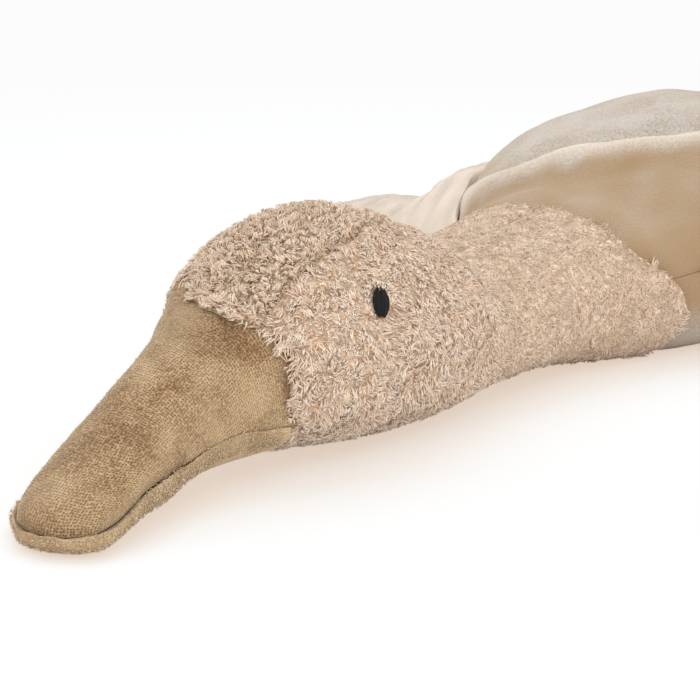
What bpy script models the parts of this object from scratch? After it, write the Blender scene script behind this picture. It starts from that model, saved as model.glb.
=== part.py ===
"""Plush goose lying on its belly with its neck stretched out and its wings spread.

Metres, +Z up. +X runs from the bill to the tail and the goose's left side faces -Y.
The origin is the centre of the flat patch on which the belly rests.
Every cover panel is cut from a cloth with a knitted backing and a standing pile. A form below is
the outer face of the backing, so a panel reaches one backing inwards and one pile outwards of it.
"""

import math

import bmesh
import bpy
from mathutils import Matrix, Vector

# Cloth and seams
BACKING = 0.001
PLUSH_PILE = 0.004
PRESSED_PILE = 0.35
VELOUR_PILE = 0.001
SEAM_GAP = 0.0003
FILLING_GAP = 0.0013

# Lengths along X, from the bill to the tail
BILL_LENGTH = 0.078
HEAD_LENGTH = 0.098
NECK_LENGTH = 0.092
BODY_LENGTH = 0.250
TAIL_LENGTH = 0.050

# Widths and heights over the backing
BILL_BASE_WIDTH = 0.049
BILL_MID_WIDTH = 0.033
BILL_TIP_WIDTH = 0.033
BILL_BASE_RISE = 0.034
BILL_MID_RISE = 0.0205
BILL_TIP_RISE = 0.011
BILL_TIP_ROUND = 0.019
BILL_DEPTH_AT_BASE = 0.0090
BILL_DEPTH_AT_TIP = 0.0042
BILL_LIP_AT_BASE = 0.0015
BILL_LIP_AT_TIP = 0.0050
BILL_BEND = 0.0035
MOUTH_AT_BASE = 0.0190
MOUTH_AT_MIDDLE = 0.0125
MOUTH_AT_TIP = 0.0050
HEAD_WIDTH = 0.078
HEAD_HEIGHT = 0.073
NECK_WIDTH = 0.070
NECK_HEIGHT = 0.050
CHEST_WIDTH = 0.096
CHEST_HEIGHT = 0.060
BODY_WIDTH = 0.180
BODY_HEIGHT = 0.087
TAIL_WIDTH = 0.062
TAIL_LIFT = 0.022
SINK = 0.004

# Crown gusset
GUSSET_FRONT_WIDTH = 0.044
GUSSET_WIDTH = 0.050
GUSSET_END_WIDTH = 0.004
GUSSET_END_IN_HEAD = 0.090

# Seams of the body
CHEST_SEAM_SLANT = 0.012
SIDE_SEAM_ANGLE = math.radians(82)

# Embroidered eyes
EYE_WIDTH = 0.0052
EYE_HEIGHT = 0.0080
EYE_DEPTH = 0.0020
EYE_CLEARANCE = 0.0004
EYE_IN_HEAD = 0.031
EYE_ANGLE = math.radians(67)

# Wings
WING_ROOT_FRONT_IN_BODY = 0.014
WING_ROOT_CHORD = 0.125
WING_TIP_FRONT_IN_BODY = 0.138
WING_TIP_CHORD = 0.085
WING_SPAN = 0.155
WING_PUFF = 0.0080
WING_BEND = 0.50
WING_SCALLOPS = 5
WING_SCALLOP_DEPTH = 0.011

# Feet
FOOT_LENGTH = 0.078
FOOT_ANKLE_WIDTH = 0.020
FOOT_TOE_WIDTH = 0.062
FOOT_PUFF = 0.0035
FOOT_TOES = 3
FOOT_TOE_DEPTH = 0.009
FOOT_SPLAY = math.radians(28)
FOOT_IN_BODY = 0.222
FOOT_ROOT_ANGLE = math.radians(125)

# Derived places
BODY_FRONT = -BODY_LENGTH / 2
BODY_END = BODY_LENGTH / 2
TAIL_TIP = BODY_END + TAIL_LENGTH
NECK_FRONT = BODY_FRONT - NECK_LENGTH
HEAD_FRONT = NECK_FRONT - HEAD_LENGTH
BILL_TIP = HEAD_FRONT - BILL_LENGTH
MID_SEAM = math.pi

# How finely the panels are divided
AROUND = 24
FILLING_AROUND = 18
GUSSET_COLUMNS = 12
NECK_COLUMNS = 8


def smooth(x, points):
    """Monotone cubic through (x, value) points, flat beyond both ends."""
    if x <= points[0][0]:
        return points[0][1]
    if x >= points[-1][0]:
        return points[-1][1]
    spans = [b[0] - a[0] for a, b in zip(points, points[1:])]
    slopes = [(b[1] - a[1]) / h for a, b, h in zip(points, points[1:], spans)]
    tangents = [slopes[0]]
    for left, right in zip(slopes, slopes[1:]):
        tangents.append(2 * left * right / (left + right) if left * right > 0 else 0.0)
    tangents.append(slopes[-1])
    i = max(k for k in range(len(spans)) if x >= points[k][0])
    h = spans[i]
    t = (x - points[i][0]) / h
    start = points[i][1] * (1 + 2 * t) * (1 - t) ** 2 + tangents[i] * h * t * (1 - t) ** 2
    end = points[i + 1][1] * t * t * (3 - 2 * t) + tangents[i + 1] * h * t * t * (t - 1)
    return start + end


def power(value, exponent):
    return math.copysign(abs(value) ** exponent, value)


# The goose's form from the bill seam to the tail tip: place along X, half width, underside and top
FORM = (
    (HEAD_FRONT, BILL_BASE_WIDTH / 2, MOUTH_AT_BASE - BILL_DEPTH_AT_BASE, MOUTH_AT_BASE + BILL_BASE_RISE),
    (HEAD_FRONT + 0.12 * HEAD_LENGTH, 0.41 * HEAD_WIDTH, 0.0095, 0.87 * HEAD_HEIGHT),
    (HEAD_FRONT + 0.28 * HEAD_LENGTH, 0.475 * HEAD_WIDTH, 0.0070, 0.965 * HEAD_HEIGHT),
    (HEAD_FRONT + 0.46 * HEAD_LENGTH, 0.50 * HEAD_WIDTH, 0.0050, HEAD_HEIGHT),
    (HEAD_FRONT + 0.74 * HEAD_LENGTH, 0.485 * HEAD_WIDTH, 0.0035, 0.90 * HEAD_HEIGHT),
    (NECK_FRONT + 0.10 * NECK_LENGTH, NECK_WIDTH / 2, 0.0070, NECK_HEIGHT),
    (NECK_FRONT + 0.50 * NECK_LENGTH, 0.52 * NECK_WIDTH, 0.0065, 1.02 * NECK_HEIGHT),
    (BODY_FRONT, CHEST_WIDTH / 2, 0.0, CHEST_HEIGHT),
    (BODY_FRONT + 0.16 * BODY_LENGTH, 0.38 * BODY_WIDTH, -SINK, 0.86 * BODY_HEIGHT),
    (BODY_FRONT + 0.34 * BODY_LENGTH, 0.48 * BODY_WIDTH, -SINK, 0.97 * BODY_HEIGHT),
    (BODY_FRONT + 0.50 * BODY_LENGTH, 0.50 * BODY_WIDTH, -SINK, BODY_HEIGHT),
    (BODY_FRONT + 0.70 * BODY_LENGTH, 0.47 * BODY_WIDTH, -SINK, 0.92 * BODY_HEIGHT),
    (BODY_FRONT + 0.88 * BODY_LENGTH, 0.36 * BODY_WIDTH, 0.30 * TAIL_LIFT, 0.72 * BODY_HEIGHT),
    (BODY_END, 0.62 * TAIL_WIDTH, 0.72 * TAIL_LIFT, 0.50 * BODY_HEIGHT),
    (BODY_END + 0.5 * TAIL_LENGTH, 0.50 * TAIL_WIDTH, TAIL_LIFT, TAIL_LIFT + 0.014),
    (TAIL_TIP, 0.22 * TAIL_WIDTH, TAIL_LIFT + 0.004, TAIL_LIFT + 0.004 + 4 * BACKING),
)


def form_section(x):
    """Half width, underside and top of the goose at x."""
    return tuple(smooth(x, [(row[0], row[k]) for row in FORM]) for k in (1, 2, 3))


def form_point(x, angle):
    """Backing surface at x, with angle 0 at the top and positive towards the goose's left."""
    half_width, underside, top = form_section(x)
    middle = underside + 0.48 * (top - underside)
    if math.cos(angle) >= 0:
        rise, exponent = top - middle, 2 / 2.1
    else:
        rise, exponent = middle - underside, 2 / 2.25
    across = -half_width * power(math.sin(angle), exponent)
    return Vector((x, across, middle + rise * power(math.cos(angle), exponent)))


def normal_of(surface, u, v, du=1e-4, dv=1e-3):
    """Unit normal of surface(u, v) by small steps; its sign is settled by the caller."""
    along = surface(u + du, v) - surface(u - du, v)
    across = surface(u, v + dv) - surface(u, v - dv)
    return along.cross(across).normalized()


def form_offset(x, angle, distance, floor):
    """Point at a distance outside the backing, kept above floor where the goose rests."""
    normal = normal_of(form_point, x, angle)
    outwards = form_point(x, angle) - Vector((x, 0, sum(form_section(x)[1:]) / 2))
    if normal.dot(outwards) < 0:
        normal = -normal
    point = form_point(x, angle) + normal * distance
    point.z = max(point.z, floor)
    return point


def material(name, colour, roughness, sheen):
    """A cloth material: colour is linear RGB."""
    made = bpy.data.materials.new(name)
    made.use_nodes = True
    shader = made.node_tree.nodes["Principled BSDF"]
    shader.inputs["Base Color"].default_value = (*colour, 1)
    shader.inputs["Roughness"].default_value = roughness
    shader.inputs["Metallic"].default_value = 0.0
    shader.inputs["Sheen Weight"].default_value = sheen
    made.diffuse_color = (*colour, 1)
    return made


def finish(name, bm, cloth, collection):
    """Writes bm to a new object in collection."""
    bmesh.ops.remove_doubles(bm, verts=bm.verts[:], dist=1e-6)
    bmesh.ops.recalc_face_normals(bm, faces=bm.faces[:])
    mesh = bpy.data.meshes.new(name)
    bm.to_mesh(mesh)
    bm.free()
    mesh.shade_smooth()
    mesh.set_sharp_from_angle(angle=math.radians(50))
    made = bpy.data.objects.new(name, mesh)
    made.data.materials.append(cloth)
    collection.objects.link(made)
    return made


def slab(name, outer, inner, columns, rows, cloth, collection):
    """A closed panel between outer(u, v) and inner(u, v), with u and v from 0 to 1."""
    bm = bmesh.new()
    bmesh.ops.create_grid(bm, x_segments=columns, y_segments=rows, size=0.5)
    raised = bmesh.ops.extrude_face_region(bm, geom=bm.faces[:])["geom"]
    raised = {item for item in raised if isinstance(item, bmesh.types.BMVert)}
    for vertex in bm.verts:
        u, v = vertex.co.x + 0.5, vertex.co.y + 0.5
        vertex.co = outer(u, v) if vertex in raised else inner(u, v)
    return finish(name, bm, cloth, collection)


def loft(name, section, stations, around, cloth, collection):
    """A closed solid through the rings section(station, angle), capped at both ends."""
    bm = bmesh.new()
    angle_of = bm.verts.layers.float.new("angle")
    ring = bmesh.ops.create_circle(bm, cap_ends=True, segments=around, radius=1)["verts"]
    for vertex in ring:
        vertex[angle_of] = math.atan2(vertex.co.x, vertex.co.y)
        vertex.co = section(stations[0], vertex[angle_of])
    first = last = bm.faces[:][0]
    for station in stations[1:]:
        grown = bmesh.ops.extrude_face_region(bm, geom=[last])["geom"]
        if last is not first and last.is_valid:
            bmesh.ops.delete(bm, geom=[last], context="FACES_ONLY")
        last = next(item for item in grown if isinstance(item, bmesh.types.BMFace))
        for vertex in last.verts:
            vertex.co = section(station, vertex[angle_of])
    bmesh.ops.triangulate(bm, faces=[face for face in bm.faces if len(face.verts) > 4])
    return finish(name, bm, cloth, collection)


def between(start, end, t):
    return start + (end - start) * t


def steps(start, end, count):
    return [between(start, end, k / count) for k in range(count + 1)]


# The goose's cover panels
def gusset_angle(x):
    """Half angle that the crown gusset covers at x."""
    end = HEAD_FRONT + GUSSET_END_IN_HEAD
    third = between(HEAD_FRONT, end, 0.35)
    width = smooth(x, [(HEAD_FRONT, GUSSET_FRONT_WIDTH), (third, GUSSET_WIDTH), (end, GUSSET_END_WIDTH)])
    half_width, underside, top = form_section(x)
    return min(width / 2 / ((half_width + top - underside) / 2 * 0.9), math.radians(80))


def seam_angle(x):
    """Half of a seam's gap as an angle of the section at x."""
    return SEAM_GAP / 2 / form_section(x)[0]


def chest_seam(angle):
    """Place of the seam between the chest plush and the body velour: further back towards the belly."""
    return BODY_FRONT + CHEST_SEAM_SLANT * (1 - math.cos(angle)) / 2


def head_station(column):
    """Place along X of a column of the head's panels, closer together towards the bill."""
    start = HEAD_FRONT + SEAM_GAP / 2
    end = HEAD_FRONT + GUSSET_END_IN_HEAD - SEAM_GAP / 2
    if column <= GUSSET_COLUMNS:
        return between(start, end, (column / GUSSET_COLUMNS) ** 1.35)
    return between(end, BODY_FRONT - SEAM_GAP / 2, (column - GUSSET_COLUMNS) / NECK_COLUMNS)


def plush_point(x, angle, distance, floor):
    """form_offset with the pile pressed down along the bill seam and nothing reaching past that seam."""
    start = HEAD_FRONT + SEAM_GAP / 2
    if distance > 0:
        distance *= smooth(x, [(start, PRESSED_PILE), (start + 2 * PLUSH_PILE, 1)])
    point = form_offset(x, angle, distance, floor)
    point.x = max(point.x, start)
    return point


def crown_gusset(cloth, collection):
    def at(distance, u, v):
        x = head_station(u * GUSSET_COLUMNS)
        limit = gusset_angle(x) - seam_angle(x)
        return plush_point(x, between(-limit, limit, v), distance, 0.0)

    outside, inside = (lambda u, v: at(PLUSH_PILE, u, v)), (lambda u, v: at(-BACKING, u, v))
    return slab("crown_gusset", outside, inside, GUSSET_COLUMNS, 8, cloth, collection)


def head_neck_side(name, side, cloth, collection):
    """One side of the head, neck and chest, from the crown gusset and the nape seam to the throat seam."""
    gusset_end = HEAD_FRONT + GUSSET_END_IN_HEAD

    def at(distance, floor, u, v):
        x = head_station(u * (GUSSET_COLUMNS + NECK_COLUMNS))
        top_seam = gusset_angle(x) + seam_angle(x)
        if x > gusset_end:
            top_seam = smooth(x, [(gusset_end, top_seam), (gusset_end + 0.004, seam_angle(x))])
        angle = between(top_seam, MID_SEAM - seam_angle(x), v)
        x += (chest_seam(angle) - BODY_FRONT) * u ** 4
        return plush_point(x, side * angle, distance, floor)

    return slab(
        name,
        lambda u, v: at(PLUSH_PILE, 0.0, u, v),
        lambda u, v: at(-BACKING, PLUSH_PILE + BACKING, u, v),
        GUSSET_COLUMNS + NECK_COLUMNS,
        AROUND // 2 + 1,
        cloth,
        collection,
    )


def body_panel(name, from_angle, to_angle, rows, cloth, collection):
    """The back or the belly, which meet along a seam on each flank and at the tail."""

    def at(distance, floor, u, v):
        nominal = between(BODY_FRONT, TAIL_TIP, u)
        angle = between(from_angle + seam_angle(nominal), to_angle - seam_angle(nominal), v)
        x = between(chest_seam(angle) + SEAM_GAP / 2, TAIL_TIP, u)
        if distance < 0:
            distance *= smooth(x, [(BODY_END, 1), (BODY_END + 0.4 * TAIL_LENGTH, 0)])
        return form_offset(x, angle, distance, floor)

    return slab(
        name,
        lambda u, v: at(VELOUR_PILE, 0.0, u, v),
        lambda u, v: at(-BACKING, VELOUR_PILE + BACKING, u, v),
        18,
        rows,
        cloth,
        collection,
    )


# The bill, whose upper and lower halves meet along a seam at the mouth
def bill_point(u, v, grow, depth):
    """Half of the bill: u from the head to the tip, v from side to side, its seam edge moved out by grow."""
    across = between(-math.pi / 2, math.pi / 2, v)
    share = power(math.sin(across), 0.92)
    end = BILL_LENGTH - BILL_TIP_ROUND * (1 - math.sqrt(max(0.0, 1 - share * share))) + grow
    reach = end * u
    nose = min(1.0, reach / BILL_LENGTH)
    sides = [(0, BILL_BASE_WIDTH / 2), (0.32, 0.54 * BILL_MID_WIDTH)]
    sides += [(0.5, BILL_MID_WIDTH / 2), (1, BILL_TIP_WIDTH / 2)]
    half_width = smooth(nose, sides)
    seam = smooth(nose, [(0, MOUTH_AT_BASE), (0.5, MOUTH_AT_MIDDLE), (0.9, MOUTH_AT_TIP)])
    fall = power(math.cos(math.asin(min(1.0, u ** 3.5))), 0.7) * power(math.cos(across), 0.92)
    aside = -(half_width + grow) * share - BILL_BEND * nose ** 1.6
    return Vector((HEAD_FRONT - reach, aside, seam + depth * fall))


def bill_rise(u):
    points = [(0, BILL_BASE_RISE), (0.5, BILL_MID_RISE), (0.85, BILL_TIP_RISE), (1, 0.8 * BILL_TIP_RISE)]
    return smooth(u, points)


def bill_depth(u):
    return smooth(u, [(0, BILL_DEPTH_AT_BASE), (0.5, 0.75 * BILL_DEPTH_AT_BASE), (0.92, BILL_DEPTH_AT_TIP)])


def bill_lip(u):
    return smooth(u, [(0, BILL_LIP_AT_BASE), (0.5, 1.3 * BILL_LIP_AT_BASE), (0.95, BILL_LIP_AT_TIP)])


def bill_upper(cloth, collection):
    def at(over, u, v):
        u = between(SEAM_GAP / 2 / BILL_LENGTH, 1, u)
        point = bill_point(u, v, over, bill_rise(u) + over)
        return point + Vector((0, 0, SEAM_GAP / 2))

    outside, inside = (lambda u, v: at(VELOUR_PILE, u, v)), (lambda u, v: at(-BACKING, u, v))
    return slab("bill_upper", outside, inside, 14, 12, cloth, collection)


def bill_lower(cloth, collection):
    def at(lip, over, u, v):
        u = between(SEAM_GAP / 2 / BILL_LENGTH, 1, u)
        point = bill_point(u, v, lip * bill_lip(u) + min(0.0, over), -bill_depth(u) - over)
        return Vector((point.x, point.y, max(0.0, point.z) - SEAM_GAP / 2))

    def floor_on(point):
        point.z = max(point.z, 0.0)
        return point

    outer = lambda u, v: floor_on(at(1, VELOUR_PILE, u, v))
    return slab("bill_lower", outer, lambda u, v: at(0, -BACKING, u, v), 14, 12, cloth, collection)


def bill_filling(cloth, collection):
    """Stuffing of the bill, one gap inside its cover."""
    inset = BACKING + SEAM_GAP

    def at(direction, u, v):
        u = between(2 * SEAM_GAP / BILL_LENGTH, 1, u)
        depth = bill_rise(u) if direction > 0 else bill_depth(u)
        point = bill_point(u, v, -inset, direction * max(0.0, depth - 1.4 * inset))
        return point + Vector((0, 0, direction * SEAM_GAP / 2))

    return slab("bill_filling", lambda u, v: at(1, u, v), lambda u, v: at(-1, u, v), 12, 10, cloth, collection)


# Wings and feet: two panels sewn round their edge with a thin filling between them
def lens_pieces(name, side, outline, puff, columns, rows, cloth, stuffing, collection):
    """Top and bottom panels and filling of a flat padded limb.

    outline(u, v) gives the middle of its underside, u away from the body and v across.
    puff(u, v) gives the height between the panels.
    """
    cover = BACKING + VELOUR_PILE

    def at(level, share, u, v):
        point = outline(u, v)
        point.z += level + share * puff(u, v)
        point.y *= side
        return point

    def inset(u, v):
        return between(0.06, 0.90, u), between(0.10, 0.90, v)

    outside, inside = (lambda u, v: at(0, 0, u, v)), (lambda u, v: at(cover, 0, u, v))
    slab(name + "_under", outside, inside, columns, rows, cloth, collection)
    low, high = cover + SEAM_GAP, 2 * cover + SEAM_GAP
    filling_low, filling_high = cover + 0.5 * FILLING_GAP, low - 1.6 * FILLING_GAP
    outside, inside = (lambda u, v: at(high, 1, u, v)), (lambda u, v: at(low, 1, u, v))
    slab(name + "_top", outside, inside, columns, rows, cloth, collection)
    slab(
        name + "_filling",
        lambda u, v: at(filling_high, 1, *inset(u, v)),
        lambda u, v: at(filling_low, 0, *inset(u, v)),
        columns,
        rows,
        stuffing,
        collection,
    )


def wing(name, side, cloth, stuffing, collection):
    """A wing sewn into the flank seam, bending down to lie on the floor with a scalloped trailing edge."""
    stand_off = VELOUR_PILE + 3 * SEAM_GAP

    def outline(u, v):
        x = BODY_FRONT + WING_ROOT_FRONT_IN_BODY + WING_ROOT_CHORD * v
        root = form_offset(x, SIDE_SEAM_ANGLE, stand_off, 0.0)
        scallop = abs(math.sin(math.pi * (WING_SCALLOPS * u + 0.35))) ** 0.6
        reach = WING_SPAN * math.sin(math.pi * (0.5 - 0.16 * abs(2 * v - 0.8) ** 2.2))
        chord = WING_TIP_CHORD - WING_SCALLOP_DEPTH * (1 - scallop) * smooth(u, [(0.15, 0), (0.4, 1)])
        tip = Vector((BODY_FRONT + WING_TIP_FRONT_IN_BODY + chord * v, -(BODY_WIDTH / 2 + reach), 0))
        sweep = 1 - (1 - u) ** 1.35
        y = between(root.y, tip.y, u)
        drop = smooth(u, [(0, 0), (0.5 * WING_BEND, 0.5), (WING_BEND, 1)])
        z = (root.z - BACKING - VELOUR_PILE) * (1 - drop)
        return Vector((between(root.x, tip.x, sweep), y, z))

    def puff(u, v):
        edge = (math.sin(math.pi * min(1, max(0, v))) * math.sin(math.pi * min(1, u ** 0.8)))
        quilt = 0.8 + 0.2 * abs(math.sin(math.pi * (WING_SCALLOPS * u + 0.35)))
        return 2 * WING_PUFF * max(0.0, edge) ** 0.55 * quilt

    lens_pieces(name, side, outline, puff, 20, 8, cloth, stuffing, collection)


def outside_body(point, margin):
    """Whether a point is further than margin outside the body's backing."""
    half_width, underside, top = form_section(point.x)
    middle = underside + 0.48 * (top - underside)
    rise, exponent = (top - middle, 2.1) if point.z > middle else (middle - underside, 2.25)
    across = abs(point.y) / (half_width + margin)
    return across ** exponent + (abs(point.z - middle) / (rise + margin)) ** exponent > 1


def foot(name, side, cloth, stuffing, collection):
    """A webbed foot trailing behind the belly, with rounded toes and its ankle against the belly."""
    cover = 2 * (BACKING + VELOUR_PILE)
    root = form_offset(BODY_FRONT + FOOT_IN_BODY, FOOT_ROOT_ANGLE, VELOUR_PILE, 0.0)
    ahead = Vector((math.cos(FOOT_SPLAY), -math.sin(FOOT_SPLAY), 0))
    aside = Vector((math.sin(FOOT_SPLAY), math.cos(FOOT_SPLAY), 0))

    def puff(u, v):
        web = 0.45 + 0.55 * abs(math.sin(math.pi * FOOT_TOES * v))
        round_edge = math.sin(math.pi * min(1, max(0, v))) * math.sin(math.pi * min(1, max(0, 0.14 + 0.86 * u)))
        return 2 * FOOT_PUFF * max(0.0, round_edge) ** 0.45 * web

    def lying(u, v):
        width = smooth(u, [(0, FOOT_ANKLE_WIDTH), (0.3, 1.05 * FOOT_ANKLE_WIDTH), (1, FOOT_TOE_WIDTH)])
        lobe = abs(math.sin(math.pi * FOOT_TOES * v)) ** 0.6
        corner = 1 - abs(2 * v - 1) ** 3
        reach = (FOOT_LENGTH - FOOT_TOE_DEPTH * (1 - lobe) - 0.5 * FOOT_TOE_DEPTH * (1 - corner)) * u
        lift = max(0.0, root.z - 0.5 * cover - FOOT_PUFF) * (1 - smooth(u, [(0, 0), (0.3, 1)]))
        place = Vector((root.x, root.y, 0)) + ahead * reach + aside * (v - 0.5) * width
        return place + Vector((0, 0, lift))

    ankle = []
    for u in steps(0, 0.4, 8):
        for v in steps(0, 1, 12):
            height = cover + SEAM_GAP + puff(u, v)
            ankle += [lying(u, v) + Vector((0, 0, share * height)) for share in steps(0, 1, 5)]
    shift = 0.0
    while not all(outside_body(point + ahead * shift, VELOUR_PILE + 1.5 * SEAM_GAP) for point in ankle):
        shift += SEAM_GAP / 2

    lens_pieces(name, side, lambda u, v: lying(u, v) + ahead * shift, puff, 8, 12, cloth, stuffing, collection)


# Stuffing of the head with the neck, and of the body
def filling(name, start, end, inset, cloth, collection):
    """One stuffed solid inside the cover from start to end along X."""
    floor = inset + 2 * BACKING

    def section(x, angle):
        return form_offset(x, angle, -inset, floor + PLUSH_PILE)

    return loft(name, section, steps(start, end, 16), FILLING_AROUND, cloth, collection)


# Embroidered eyes, each in a hollow pressed into the plush
def eye_shape(name, side, grow, depth, height_over, cloth, collection):
    """An oval pad on the side of the head, grown by grow and reaching height_over above the backing."""
    x = HEAD_FRONT + EYE_IN_HEAD
    place = form_offset(x, side * EYE_ANGLE, 0, 0.0)
    outwards = (form_offset(x, side * EYE_ANGLE, 0.01, 0.0) - place).normalized()
    along = (form_offset(x + 0.002, side * EYE_ANGLE, 0, 0.0) - place).normalized()
    upwards = outwards.cross(along) * side
    bm = bmesh.new()
    bmesh.ops.create_uvsphere(bm, u_segments=16, v_segments=8, radius=1)
    frame = Matrix((along, upwards, outwards)).transposed().to_4x4()
    size = Matrix.Diagonal((EYE_WIDTH / 2 + grow, EYE_HEIGHT / 2 + grow, depth + grow, 1))
    centre = place + outwards * (height_over - depth)
    bmesh.ops.transform(bm, matrix=Matrix.Translation(centre) @ frame @ size, verts=bm.verts[:])
    return finish(name, bm, cloth, collection)


def press_in(panel, cutter):
    """Takes the cutter's shape out of the panel."""
    hollow = panel.modifiers.new("eye_hollow", "BOOLEAN")
    hollow.operation = "DIFFERENCE"
    hollow.solver = "EXACT"
    hollow.object = cutter


def build():
    for stale in list(bpy.data.objects):
        bpy.data.objects.remove(stale)
    goose = bpy.data.collections.new("plush_goose")
    cutters = bpy.data.collections.new("cutters")
    bpy.context.scene.collection.children.link(goose)
    bpy.context.scene.collection.children.link(cutters)
    plush = material("oat_plush", (0.56, 0.42, 0.30), 0.95, 0.3)
    velour = material("sand_velour", (0.50, 0.38, 0.27), 0.9, 0.4)
    bill_velour = material("tan_bill_velour", (0.47, 0.33, 0.19), 0.9, 0.3)
    foot_velour = material("tan_foot_velour", (0.47, 0.33, 0.19), 0.9, 0.3)
    thread = material("black_eye_thread", (0.012, 0.012, 0.013), 0.45, 0.0)
    stuffing = material("white_stuffing", (0.82, 0.81, 0.78), 0.95, 0.0)

    bill_upper(bill_velour, goose)
    bill_lower(bill_velour, goose)
    bill_filling(stuffing, goose)
    crown_gusset(plush, goose)
    for side, label in ((1, "left"), (-1, "right")):
        panel = head_neck_side("head_neck_" + label, side, plush, goose)
        top = PLUSH_PILE - 0.0008
        eye_shape("eye_" + label, side, 0.0, EYE_DEPTH, top, thread, goose)
        depth = EYE_DEPTH + 0.001
        cutter = eye_shape("eye_hollow_" + label, side, EYE_CLEARANCE, depth, top + 0.001, thread, cutters)
        cutter.hide_render = True
        cutter.display_type = "WIRE"
        press_in(panel, cutter)
    body_panel("body_back", -SIDE_SEAM_ANGLE, SIDE_SEAM_ANGLE, 14, velour, goose)
    body_panel("body_belly", SIDE_SEAM_ANGLE, 2 * math.pi - SIDE_SEAM_ANGLE, 12, velour, goose)
    inset = BACKING + FILLING_GAP
    filling("head_neck_filling", HEAD_FRONT + 0.001, BODY_FRONT - 0.001, inset, stuffing, goose)
    filling("body_filling", BODY_FRONT + 0.001, BODY_END, inset, stuffing, goose)
    for side, label in ((1, "left"), (-1, "right")):
        wing("wing_" + label, side, velour, stuffing, goose)
        foot("foot_" + label, side, foot_velour, stuffing, goose)


build()
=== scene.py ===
"""Looks of the plush goose: pile, velour, stitched eyes, padded wings and feet, light and camera.

Metres, +Z up. The bill points to -X and the goose's left side faces -Y.
"""

import math
import bmesh
import bpy
import numpy as np
from mathutils import Matrix, Vector, kdtree


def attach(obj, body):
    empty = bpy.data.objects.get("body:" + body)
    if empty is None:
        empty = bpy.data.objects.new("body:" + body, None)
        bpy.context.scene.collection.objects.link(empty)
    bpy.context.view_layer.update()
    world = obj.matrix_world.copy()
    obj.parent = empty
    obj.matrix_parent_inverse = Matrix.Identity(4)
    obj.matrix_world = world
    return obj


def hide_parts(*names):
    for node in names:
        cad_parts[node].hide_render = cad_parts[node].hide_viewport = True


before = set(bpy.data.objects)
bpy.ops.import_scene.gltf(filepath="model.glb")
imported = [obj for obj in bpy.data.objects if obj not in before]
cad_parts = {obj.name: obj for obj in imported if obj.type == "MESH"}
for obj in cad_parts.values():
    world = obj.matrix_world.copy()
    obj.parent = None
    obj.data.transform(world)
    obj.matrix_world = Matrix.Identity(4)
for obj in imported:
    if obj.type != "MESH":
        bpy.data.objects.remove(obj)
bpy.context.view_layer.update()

MM = 0.001
UP = np.array((0.0, 0.0, 1.0))
SIDES = ((1, "left"), (-1, "right"))

# Sizes that the covers share with the solids
BACKING = 0.001
PLUSH_PILE = 0.004
VELOUR_PILE = 0.001
SEAM_GAP = 0.0003
FILLING_GAP = 0.0013
BILL_LENGTH = 0.078
HEAD_LENGTH = 0.098
NECK_LENGTH = 0.092
BODY_LENGTH = 0.250
TAIL_LENGTH = 0.050
BILL_BASE_WIDTH = 0.049
BILL_MID_WIDTH = 0.033
BILL_TIP_WIDTH = 0.033
BILL_BASE_RISE = 0.034
BILL_MID_RISE = 0.0205
BILL_TIP_RISE = 0.011
BILL_TIP_ROUND = 0.019
BILL_DEPTH_AT_BASE = 0.0090
BILL_DEPTH_AT_TIP = 0.0042
BILL_LIP_AT_BASE = 0.0015
BILL_LIP_AT_TIP = 0.0050
BILL_BEND = 0.0035
MOUTH_AT_BASE = 0.0190
MOUTH_AT_MIDDLE = 0.0125
MOUTH_AT_TIP = 0.0050
HEAD_WIDTH = 0.078
HEAD_HEIGHT = 0.073
NECK_WIDTH = 0.070
NECK_HEIGHT = 0.050
CHEST_WIDTH = 0.096
CHEST_HEIGHT = 0.060
BODY_WIDTH = 0.180
BODY_HEIGHT = 0.087
TAIL_WIDTH = 0.062
TAIL_LIFT = 0.022
SINK = 0.004
GUSSET_FRONT_WIDTH = 0.044
GUSSET_WIDTH = 0.050
GUSSET_END_WIDTH = 0.004
GUSSET_END_IN_HEAD = 0.090
CHEST_SEAM_SLANT = 0.012
SIDE_SEAM_ANGLE = math.radians(82)
EYE_WIDTH = 0.0052
EYE_HEIGHT = 0.0080
EYE_DEPTH = 0.0020
EYE_IN_HEAD = 0.031
EYE_ANGLE = math.radians(67)
WING_ROOT_FRONT_IN_BODY = 0.014
WING_ROOT_CHORD = 0.125
WING_TIP_FRONT_IN_BODY = 0.138
WING_TIP_CHORD = 0.085
WING_SPAN = 0.155
WING_PUFF = 0.0080
WING_BEND = 0.50
WING_SCALLOPS = 5
WING_SCALLOP_DEPTH = 0.011
FOOT_LENGTH = 0.078
FOOT_ANKLE_WIDTH = 0.020
FOOT_TOE_WIDTH = 0.062
FOOT_PUFF = 0.0035
FOOT_TOES = 3
FOOT_TOE_DEPTH = 0.009
FOOT_SPLAY = math.radians(28)
FOOT_IN_BODY = 0.222
FOOT_ROOT_ANGLE = math.radians(125)

BODY_FRONT = -BODY_LENGTH / 2
BODY_END = BODY_LENGTH / 2
TAIL_TIP = BODY_END + TAIL_LENGTH
NECK_FRONT = BODY_FRONT - NECK_LENGTH
HEAD_FRONT = NECK_FRONT - HEAD_LENGTH
GUSSET_END = HEAD_FRONT + GUSSET_END_IN_HEAD

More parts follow.
